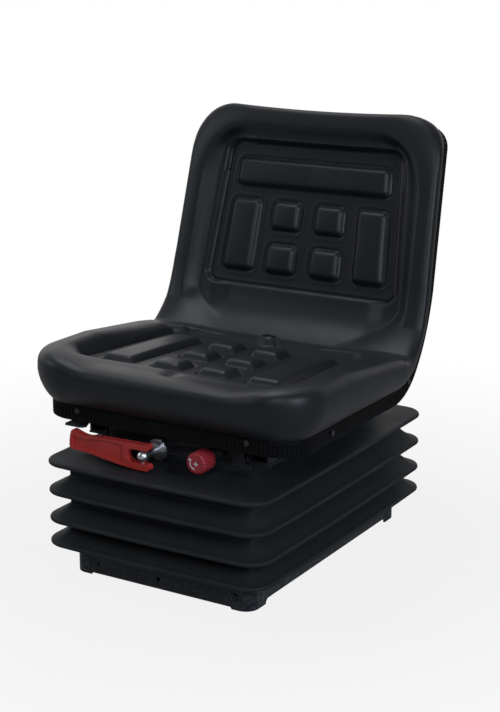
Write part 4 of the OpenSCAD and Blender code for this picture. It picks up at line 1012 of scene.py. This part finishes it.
@dataclass
class EdgeTrim:
    """Band with fine upright ribs that clips over the shell's edge."""

    path: ShellPath
    pitch: float = 6.0
    rib_depth: float = 1.1
    thickness: float = 2.5
    low: float = -4.5
    high: float = 15.5
    lip_in: float = 8.0
    joint_middle: float = -7.5
    joint_half: float = 18.5

    def outline(self, steps: int = 40) -> np.ndarray:
        """Run and width along the shell's edge, with the outward direction, evenly finely spaced.

        Args:
            steps: Pieces in each corner.

        Returns:
            Rows of x, s, outward x and outward s.
        """
        path, r = self.path, self.path.top_corner
        low, high = path.front_corner, path.s_top - r
        rows = []
        for i in range(steps + 1):
            a = math.radians(90 * i / steps)
            rows.append((path.half_width(low) - low + low * math.sin(a), low - low * math.cos(a),
                         math.sin(a), -math.cos(a)))
        for s in np.linspace(low, high, 400)[1:-1]:
            rows.append((float(path.half_width(s)), s, 1.0, 0.0))
        for i in range(steps + 1):
            a = math.radians(90 * i / steps)
            rows.append((path.half_width(high) - r + r * math.cos(a), high + r * math.sin(a),
                         math.cos(a), math.sin(a)))
        right = np.array(rows, float)
        left = right[::-1] * np.array([-1, 1, -1, 1])
        front = np.array([(x, 0.0, 0.0, -1.0) for x in np.linspace(-150, 150, 60)[1:-1]])
        top = np.array([(x, path.s_top, 0.0, 1.0) for x in np.linspace(160, -160, 60)[1:-1]])
        return np.concatenate([right, top, left, front])

    def sampled(self) -> tuple[np.ndarray, np.ndarray]:
        """Outline sampled at the flanks of every rib.

        Returns:
            Rows as in outline, and the depth of the groove at each.
        """
        fine = self.outline()
        closed = np.concatenate([fine, fine[:1]])
        length = np.concatenate([[0], np.cumsum(np.hypot(*np.diff(closed[:, :2], axis=0).T))])
        count = round(length[-1] / self.pitch)
        phases = (0.0, 0.54, 0.62, 0.92)
        places = np.array([(i + f) * length[-1] / count for i in range(count) for f in phases])
        rows = np.stack([np.interp(places, length, closed[:, n]) for n in range(4)], axis=1)
        depth = np.tile([0.0, 0.0, self.rib_depth, self.rib_depth], count)
        joint = (rows[:, 1] < 5) & (np.abs(rows[:, 0] - self.joint_middle) < self.joint_half)
        return rows, np.where(joint, -0.45, depth)

    def build(self) -> bpy.types.Object:
        """Stacks the band's section round the outline.

        Returns:
            The band.
        """
        rows, groove = self.sampled()
        outer = GAP + self.thickness
        section = [(GAP, self.high, 0), (GAP + 1.2, self.high + 0.2, 0), (outer - 0.4, self.high - 0.4, 0),
                   (outer, self.high - 1.4, 0.15), (outer, self.high - 1.9, 1), (outer, self.low + 2.4, 1),
                   (outer, self.low + 1.9, 0.15), (outer - 0.2, self.low + 0.5, 0),
                   (outer - 0.9, self.low, 0), (-self.lip_in, self.low, 0),
                   (-self.lip_in, self.low + 1.8, 0), (GAP, self.low + 1.8, 0)]
        rings = []
        for out, h, share in section:
            reach = out - groove * share
            ring = self.path.on_shell(rows[:, 0] + rows[:, 2] * reach, rows[:, 1] + rows[:, 3] * reach, h)
            rings.append([tuple(p) for p in ring])
        return stack_rings("edge_band", rings, Ends.JOINED)

    def dress(self, obj: bpy.types.Object, materials: dict[Slot, bpy.types.Material]) -> None:
        """Gives the band its plastic."""
        place_piece(obj, Body.SEAT, Slot.TRIM_PLASTIC, materials[Slot.TRIM_PLASTIC], "edge_trim")


# Bellows


@dataclass
class Bellows:
    """Rubber bellows: skirt-like folds with round tips between tray and housing."""

    base_w: float = 294.0
    base_d: float = 434.0
    width: float = 359.0
    depth: float = 499.0
    tips: tuple[float, ...] = (47.0, 81.5, 122.5, 164.5)
    tip_r: float = 36.0
    tip_t: float = 6.4
    drop: float = 16.0
    rubber_t: float = 2.6
    cuff_z: float = 30.0
    bow: float = 2.5
    housing_w: float = 250.0
    housing_d: float = 350.0
    roof_z: float = 173.4
    roof_gap: float = 0.6
    corner_steps: int = 14
    side_steps: int = 14
    travel_keep: float = 0.582

    def __post_init__(self) -> None:
        """Works out the root line from tray and tips."""
        self.fold = (self.width - self.base_w) / 2 - self.rubber_t - GAP
        self.root_x = self.base_w / 2 + GAP + self.rubber_t
        self.root_y = self.base_d / 2 + GAP + self.rubber_t
        self.root_r = self.tip_r - self.fold
        self.tip_y_extra = self.depth / 2 - self.root_y - self.fold

    def outline(self, hx: float, hy: float, r: float, bow: float) -> list[Flat]:
        """Rounded rectangle whose straight edges bow out.

        Args:
            hx: Half width.
            hy: Half depth.
            r: Corner radius.
            bow: How far the middle of each edge stands out.

        Returns:
            Points round the outline.
        """
        places = [-1 + 2 * (i + 1) / (self.side_steps + 1) for i in range(self.side_steps)]
        made = arc(hx - r, hy - r, r, 0, 90, self.corner_steps)
        made += [(-t * (hx - r), hy + bow * (1 - t * t)) for t in places]
        made += arc(-hx + r, hy - r, r, 90, 180, self.corner_steps)
        made += [(-hx - bow * (1 - t * t), -t * (hy - r)) for t in places]
        made += arc(-hx + r, -hy + r, r, 180, 270, self.corner_steps)
        made += [(t * (hx - r), -hy - bow * (1 - t * t)) for t in places]
        made += arc(hx - r, -hy + r, r, 270, 360, self.corner_steps)
        made += [(hx + bow * (1 - t * t), t * (hy - r)) for t in places]
        return made

    def ring(self, out: float, z: float) -> list[Point]:
        """One ring at a distance outside the root line."""
        share = max(0.0, out / self.fold)
        hx, hy = self.root_x + out, self.root_y + out + self.tip_y_extra * share
        return [(x, y, z) for x, y in self.outline(hx, hy, max(2.0, self.root_r + out), self.bow * share)]

    def roof_ring(self, share: float, z: float) -> list[Point]:
        """One ring of the roof, from the top fold at 0 to the housing's walls at 1."""
        hx = mix((self.width - self.tip_t) / 2, self.housing_w / 2 + self.roof_gap, share)
        hy = mix((self.depth - self.tip_t) / 2, self.housing_d / 2 + self.roof_gap, share)
        r = mix(self.tip_r - 2, 1, share)
        return [(x, y, z) for x, y in self.outline(hx, hy, r, self.bow * (1 - share))]

    def fold_side(self, tip: float, whole: bool) -> list[Flat]:
        """Outer side of one fold, from its lower root round its tip.

        Args:
            tip: Height of the tip.
            whole: Whether the side runs on to the upper root.

        Returns:
            Distances outside the root and heights.
        """
        r = self.tip_t / 2
        reach = self.fold - r
        under = [(0.0, tip - 6.5), (1.2, tip - 5.4), (3.0, tip - 5.0), (reach * 0.5, tip - 4.4),
                 (reach - 3, tip - r - 0.1)]
        side = under + [(reach + r * math.cos(a), tip + r * math.sin(a))
                        for a in (math.radians(-90 + 180 * i / 8) for i in range(9))]
        if whole:
            for t in (0.12, 0.25, 0.4, 0.55, 0.7, 0.83, 0.93, 0.985):
                side.append((reach * (1 - t), tip + r + self.drop * t**1.45))
            side.append((0.0, tip + r + self.drop + 1.2))
        return side

    def inner_side(self, tip: float, whole: bool) -> list[Flat]:
        """Inner side of one fold, a rubber thickness inside the outer one."""
        r = self.tip_t / 2
        reach = self.fold - 2 * r - 1
        side = [(-self.rubber_t, tip - 4), (reach, tip - 0.5), (reach, tip + 0.5)]
        return side + [(-self.rubber_t, tip + r + self.drop - self.rubber_t)] if whole else side

    def build(self) -> bpy.types.Object:
        """Stacks the bellows' rings, outside up and inside down.

        Returns:
            The bellows.
        """
        top, r = self.tips[-1], self.tip_t / 2
        rise = self.roof_z - top - r
        outer = [(0.0, self.cuff_z), (0.5, self.cuff_z + 0.6), (0.5, self.cuff_z + 2.5), (0.0, self.cuff_z + 3)]
        inner = [(-self.rubber_t, self.cuff_z)]
        for tip in self.tips:
            outer += self.fold_side(tip, tip != top)
            inner += self.inner_side(tip, tip != top)
        shares = (0.08, 0.18, 0.3, 0.42, 0.55, 0.68, 0.8, 0.9, 0.96, 1.0)
        rings = [self.ring(out, z) for out, z in outer]
        rings += [self.roof_ring(s, top + r + rise * s**5) for s in shares]
        rings += [self.roof_ring(s, top + r - self.rubber_t + rise * s**5) for s in (1.0, 0.65, 0.3)]
        rings += [self.ring(out, z) for out, z in reversed(inner)]
        return stack_rings("bellows_rubber", rings, Ends.JOINED)

    def dress(self, obj: bpy.types.Object, materials: dict[Slot, bpy.types.Material]) -> None:
        """Gives the bellows its rubber and a mesh of its own."""
        place_piece(obj, Body.BASE, Slot.BELLOWS_RUBBER, materials[Slot.BELLOWS_RUBBER], "bellows")
        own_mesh(obj)


# Controls


@dataclass
class CrankLever:
    """Folding crank: tapered plate with a thumb hollow, a raised border and a forked end."""

    pin: Point = (-26.0, -213.5, 190.0)
    length: float = 121.0
    thickness: float = 11.0
    prong_out: float = 12.5
    slot_half: float = 9.5
    pin_r: float = 2.5
    field_depth: float = 2.2

    def outline(self) -> list[Flat]:
        """Outline seen from the front, with the pin at the origin."""
        end = -self.length
        made = bezier((end + 8, 19.5), (end + 22, 15), (end + 26, 13), (-84, 15), 12)
        made += bezier((-84, 15), (-60, 17.8), (-22, 16.8), (4, 18.2), 12)[1:]
        made += arc(self.prong_out - 4.4, 13.9, 4.4, 90, -85, 10)
        made += [(self.prong_out - 6, self.slot_half)]
        made += arc(-14, 0, self.slot_half, 90, 270, 16)
        made += [(self.prong_out - 6, -self.slot_half)]
        made += arc(self.prong_out - 4.8, -14.2, 4.8, 80, -95, 10)
        made += bezier((-8, -19.0), (-26, -18.2), (-44, -16), (-62, -13.5), 8)
        made += bezier((-62, -13.5), (-80, -9.2), (-108, -8.5), (end + 5, -8), 8)[1:]
        made += arc(end + 5, -3, 5, -100, -180, 6)
        made += bezier((end, -3), (end, 10), (end + 3, 19), (end + 5, 20), 8)[1:]
        return made

    def place(self, x: float, y: float, h: float) -> Point:
        """Place of an outline point at distance h in front of the crank's middle."""
        return (self.pin[0] + x, self.pin[1] - h, self.pin[2] + y)

    def build(self) -> bpy.types.Object:
        """Extrudes the outline, sinks the field inside the border and rounds the edges.

        Returns:
            The crank.
        """
        half = self.thickness / 2
        lever = plate("crank_grip", self.outline(), -half, half, self.place)
        end = -self.length
        sunk = ([(end + 6, -3.2)] + bezier((end + 6.5, 12), (end + 20, 9), (-96, 8.5), (-84, 11), 8)
                + bezier((-84, 11), (-60, 13.8), (-44, 13.4), (-34, 12.6), 8)[1:]
                + arc(-33, 9.6, 3, 90, 0, 4) + arc(-33, -9.4, 3, 0, -90, 4)
                + bezier((-36, -13), (-50, -11.6), (-64, -9), (-84, -4.6), 8))
        for s in (-1, 1):
            cut_away(lever, plate("field_cut", sunk, s * (half - self.field_depth), s * (half + 3), self.place))
        bpy.ops.object.select_all(action="DESELECT")
        bpy.ops.mesh.primitive_cylinder_add(vertices=24, radius=self.pin_r * MM * 1.02, depth=0.06,
                                            location=[v * MM for v in self.pin])
        cut_away(lever, bpy.context.object)
        apply_modifier(lever, "BEVEL", width=1.1 * MM, segments=3, limit_method="ANGLE",
                       angle_limit=math.radians(50), use_clamp_overlap=True)
        return finish_mesh(lever, 40)

    def dress(self, obj: bpy.types.Object, materials: dict[Slot, bpy.types.Material]) -> None:
        """Gives the crank its red plastic."""
        place_piece(obj, Body.CRANK, Slot.CRANK_RED, materials[Slot.CRANK_RED], "crank_lever")


@dataclass
class HeightKnob:
    """Fluted knob with a turning mark on its face."""

    axis_x: float = 60.0
    axis_z: float = 195.0
    back_y: float = -187.0
    length: float = 30.0
    diameter: float = 31.0
    flutes: int = 16
    flute_depth: float = 1.1

    def ring(self, r: float, out: float, flute: float) -> list[Point]:
        """Ring of radius r at distance out in front of the knob's back, with flutes of a share."""
        steps = self.flutes * 10
        made = []
        for i in range(steps):
            a = 2 * math.pi * i / steps
            wave = (0.5 + 0.5 * math.cos(self.flutes * a)) ** 2.5
            radius = r - flute * self.flute_depth * wave
            made.append((self.axis_x + radius * math.cos(a), self.back_y - out,
                         self.axis_z + radius * math.sin(a)))
        return made

    def place(self, x: float, y: float, h: float) -> Point:
        """Place of a mark's point at distance h in front of the face."""
        return (self.axis_x + x, self.back_y - self.length - h, self.axis_z + y)

    def build(self) -> list[bpy.types.Object]:
        """Stacks the knob's rings and adds the mark: a curved arrow and a plus.

        Returns:
            The knob and the mark's pieces.
        """
        r, length = self.diameter / 2, self.length
        stations = [(4.0, 0.0, 0), (r - 2.4, 0.0, 0), (r - 1.4, 0.5, 0.2), (r - 0.6, 1.6, 0.7), (r - 0.3, 3, 1)]
        stations += [(r - 0.3 + 0.3 * t, 3 + (length - 8) * t, 1) for t in (0.25, 0.5, 0.75, 1.0)]
        stations += [(r - 4 + 4 * math.cos(a), length - 4.2 + 3.8 * math.sin(a), math.cos(a) ** 0.7)
                     for a in (math.radians(v) for v in (8, 22, 38, 54, 70, 84))]
        stations += [(r - 5.2, length - 0.3, 0), (r - 6.0, length - 0.6, 0), (2.0, length - 0.4, 0)]
        knob = stack_rings("fluted_knob", [self.ring(*s) for s in stations], Ends.CAPPED)
        marks = [plate("turn_mark", arc(0, 0, 8.6, 150, 262, 16) + arc(0, 0, 7.0, 262, 150, 16), -0.6, -0.1,
                       self.place),
                 plate("mark_head", [(-10.6, 3.3), (-5.2, 4.6), (-9.3, 7.4)], -0.6, -0.1, self.place),
                 plate("mark_bar", [(-2.2, -0.8), (4.4, -0.8), (4.4, 0.8), (-2.2, 0.8)], -0.6, -0.1, self.place),
                 plate("mark_stem", [(0.3, -3.3), (1.9, -3.3), (1.9, 3.3), (0.3, 3.3)], -0.6, -0.05, self.place)]
        return [knob, *marks]

    def dress(self, pieces: list[bpy.types.Object], materials: dict[Slot, bpy.types.Material],
              mark: bpy.types.Material) -> None:
        """Gives the knob its crimson plastic and the mark its white paint."""
        place_piece(pieces[0], Body.KNOB, Slot.KNOB_RED, materials[Slot.KNOB_RED], "height_knob")
        for obj in pieces[1:]:
            place_piece(obj, Body.KNOB, Slot.KNOB_RED, mark)


# Steel work that keeps its solids


@dataclass
class SteelWork:
    """CAD nodes that keep their shape, some as copies with broken edges."""

    edges: float = 0.45
    rounded: tuple[tuple[str, str, Body], ...] = (
        ("base_tray", "tray", Body.BASE), ("front_panel", "panel", Body.UPPER),
        ("lower_rails", "fixed_rails", Body.UPPER), ("upper_rails", "moving_rails", Body.SEAT),
        ("rail_end_clips", "end_clips", Body.UPPER))
    dark: tuple[str, ...] = ("rail_end_clips", "panel_screws", "trim_rivets")

    def rounded_copy(self, node: str, name: str) -> bpy.types.Object:
        """Copies a node, merges it and breaks its sharp edges.

        Args:
            node: CAD node.
            name: Name of the copy.

        Returns:
            The copy.
        """
        source = frame["nodes"][node]
        obj = bpy.data.objects.new(name, source.data.copy())
        bpy.context.scene.collection.objects.link(obj)
        activate(obj)
        bpy.ops.mesh.customdata_custom_splitnormals_clear()
        bpy.ops.object.mode_set(mode="EDIT")
        bpy.ops.mesh.select_all(action="SELECT")
        bpy.ops.mesh.remove_doubles(threshold=1e-6)
        bpy.ops.mesh.dissolve_limited(angle_limit=math.radians(0.5))
        bpy.ops.object.mode_set(mode="OBJECT")
        apply_modifier(obj, "BEVEL", width=self.edges * MM, segments=2, limit_method="ANGLE",
                       angle_limit=math.radians(40), use_clamp_overlap=True)
        bpy.ops.object.shade_smooth_by_angle(angle=math.radians(30))
        return obj

    def build(self) -> dict[str, bpy.types.Object]:
        """Makes the copies, by node."""
        return {node: self.rounded_copy(node, name) for node, name, _ in self.rounded}

    def dress(self, copies: dict[str, bpy.types.Object], materials: dict[Slot, bpy.types.Material],
              base_paint: bpy.types.Material) -> None:
        """Gives every remaining CAD node and every copy its finish.

        Args:
            copies: Copies by node.
            materials: Materials by slot.
            base_paint: Paint of the tray and its screws.
        """
        slots = {row["node"]: Slot(row["material_slot"]) for row in frame["record"]["subparts"]}
        for node, obj in frame["nodes"].items():
            material = base_paint if node in ("base_tray", "base_screws") else materials[slots[node]]
            material = materials[Slot.SPRING_STEEL] if node in self.dark else material
            for holder in obj.material_slots:
                holder.material = material
            if not obj.material_slots:
                obj.data.materials.append(material)
        for node, _, body in self.rounded:
            material = base_paint if node == "base_tray" else materials[slots[node]]
            material = materials[Slot.SPRING_STEEL] if node in self.dark else material
            place_piece(copies[node], body, slots[node], material, node)


# Studio


@dataclass(frozen=True)
class SoftBox:
    """One soft lamp that looks at the seat."""

    name: str
    place: Point
    size: Flat
    watts: float
    colour: Colour = (1.0, 1.0, 1.0)

    def build(self) -> None:
        """Adds the lamp."""
        data = bpy.data.lights.new(self.name, "AREA")
        data.shape = "RECTANGLE"
        data.size, data.size_y = self.size
        data.energy = self.watts
        data.color = self.colour
        obj = bpy.data.objects.new(self.name, data)
        obj.location = self.place
        obj.rotation_mode = "QUATERNION"
        obj.rotation_quaternion = (Vector((0, 0, 0.3)) - Vector(self.place)).to_track_quat("-Z", "Y")
        bpy.context.scene.collection.objects.link(obj)


@dataclass
class Studio:
    """Pale floor, white surroundings, soft lamps and the camera."""

    lens: float = 81.43
    eye: Point = (1.1721, -1.9080, 0.8937)
    right: Point = (0.8548, 0.5190, 0.0)
    back: Point = (0.50078, -0.82486, 0.26238)
    ambient: float = 0.09
    dark_side: float = 0.10
    lamps: tuple[SoftBox, ...] = (
        SoftBox("top_box", (-0.5, 0.1, 2.6), (1.5, 1.5), 28, (0.95, 0.97, 1.0)),
        SoftBox("left_box", (-2.1, -1.3, 1.4), (0.5, 1.2), 10, (0.78, 0.89, 1.0)),
        SoftBox("right_box", (2.2, -0.95, 1.2), (0.3, 1.2), 26, (0.78, 0.89, 1.0)),
        SoftBox("front_box", (1.0, -2.1, 1.6), (0.6, 0.9), 12, (0.96, 0.97, 1.0)))

    def camera(self) -> None:
        """Adds the camera at the photograph's place and lens."""
        data = bpy.data.cameras.new("camera")
        data.lens = self.lens
        data.sensor_width = 36.0
        data.clip_start, data.clip_end = 0.05, 60.0
        obj = bpy.data.objects.new("camera", data)
        right, back = Vector(self.right).normalized(), Vector(self.back).normalized()
        up = back.cross(right).normalized()
        turn = Matrix((right, up, back)).transposed().to_4x4()
        obj.matrix_world = Matrix.Translation(Vector(self.eye)) @ turn
        bpy.context.scene.collection.objects.link(obj)
        bpy.context.scene.camera = obj

    def world(self) -> None:
        """Makes a white backdrop behind the seat and a dim room in front of it."""
        world = bpy.data.worlds.new("surroundings")
        bpy.context.scene.world = world
        world.use_nodes = True
        kit = NodeKit(world.node_tree)
        towards = kit.add("VectorMath", operation="DOT_PRODUCT")
        kit.feed(towards.inputs[0], kit.add("TexCoord").outputs["Generated"])
        kit.feed(towards.inputs[1], tuple(-v for v in self.back))
        backdrop = kit.span(towards.outputs["Value"], 0.0, 0.75, self.dark_side, 1.0)
        path = kit.add("LightPath")
        level = kit.span(path.outputs["Is Glossy Ray"], 0, 1, self.ambient, 1.0)
        level = kit.math("MULTIPLY", level, backdrop)
        shown = kit.math("MAXIMUM", path.outputs["Is Camera Ray"], path.outputs["Is Transmission Ray"])
        background = world.node_tree.nodes["Background"]
        background.inputs["Color"].default_value = (1, 1, 1, 1)
        kit.feed(background.inputs["Strength"], kit.math("MAXIMUM", shown, level))

    def floor(self) -> None:
        """Adds the pale floor, which keeps the seat's shadow and fades into the white backdrop."""
        bpy.ops.object.select_all(action="DESELECT")
        bpy.ops.mesh.primitive_plane_add(size=40.0, location=(0, 0, -0.0005))
        obj = bpy.context.object
        obj.name = obj.data.name = "pale_floor"
        made = bpy.data.materials.new("pale_floor")
        made.use_nodes = True
        kit = NodeKit(made.node_tree)
        shader = made.node_tree.nodes["Principled BSDF"]
        shader.inputs["Base Color"].default_value = (0.25, 0.25, 0.25, 1)
        shader.inputs["Roughness"].default_value = 0.9
        shader.inputs["Specular IOR Level"].default_value = 0.1
        glow = kit.add("Emission", Color=(1, 1, 1, 1), Strength=1.0)
        distance = kit.add("VectorMath", operation="LENGTH")
        kit.feed(distance.inputs[0], kit.add("TexCoord").outputs["Object"])
        share = kit.span(distance.outputs["Value"], 0.35, 1.1, 0.86, 1.0)
        path = kit.add("LightPath")
        shown = kit.math("MAXIMUM", path.outputs["Is Camera Ray"],
                         kit.math("MULTIPLY", path.outputs["Is Glossy Ray"], 0.22))
        blend = kit.add("MixShader")
        kit.feed(blend.inputs[0], kit.math("MULTIPLY", shown, share))
        kit.feed(blend.inputs[1], shader.outputs[0])
        kit.feed(blend.inputs[2], glow.outputs[0])
        kit.feed(made.node_tree.nodes["Material Output"].inputs["Surface"], blend.outputs[0])
        obj.data.materials.append(made)

    def build(self) -> None:
        """Sets up the whole studio."""
        self.camera()
        self.world()
        self.floor()
        for lamp in self.lamps:
            lamp.build()
        bpy.context.scene.view_settings.view_transform = "Standard"


def main() -> None:
    """Builds and dresses every piece."""
    logging.basicConfig(level=logging.INFO, format="%(name)s: %(message)s")
    Studio().build()
    effects = EffectSet()
    effects.build()
    materials = {slot: finish.material(effects) for slot, finish in FINISHES.items()}
    base_paint = BASE_PAINT.material(effects)
    mark_paint = MARK_PAINT.material(effects)
    path = ShellPath()
    for maker in (Cushion(path), EdgeTrim(path), Bellows(), CrankLever()):
        maker.dress(maker.build(), materials)
    knob = HeightKnob()
    knob.dress(knob.build(), materials, mark_paint)
    steel = SteelWork()
    steel.dress(steel.build(), materials, base_paint)


if __name__ == "__main__":
    main()
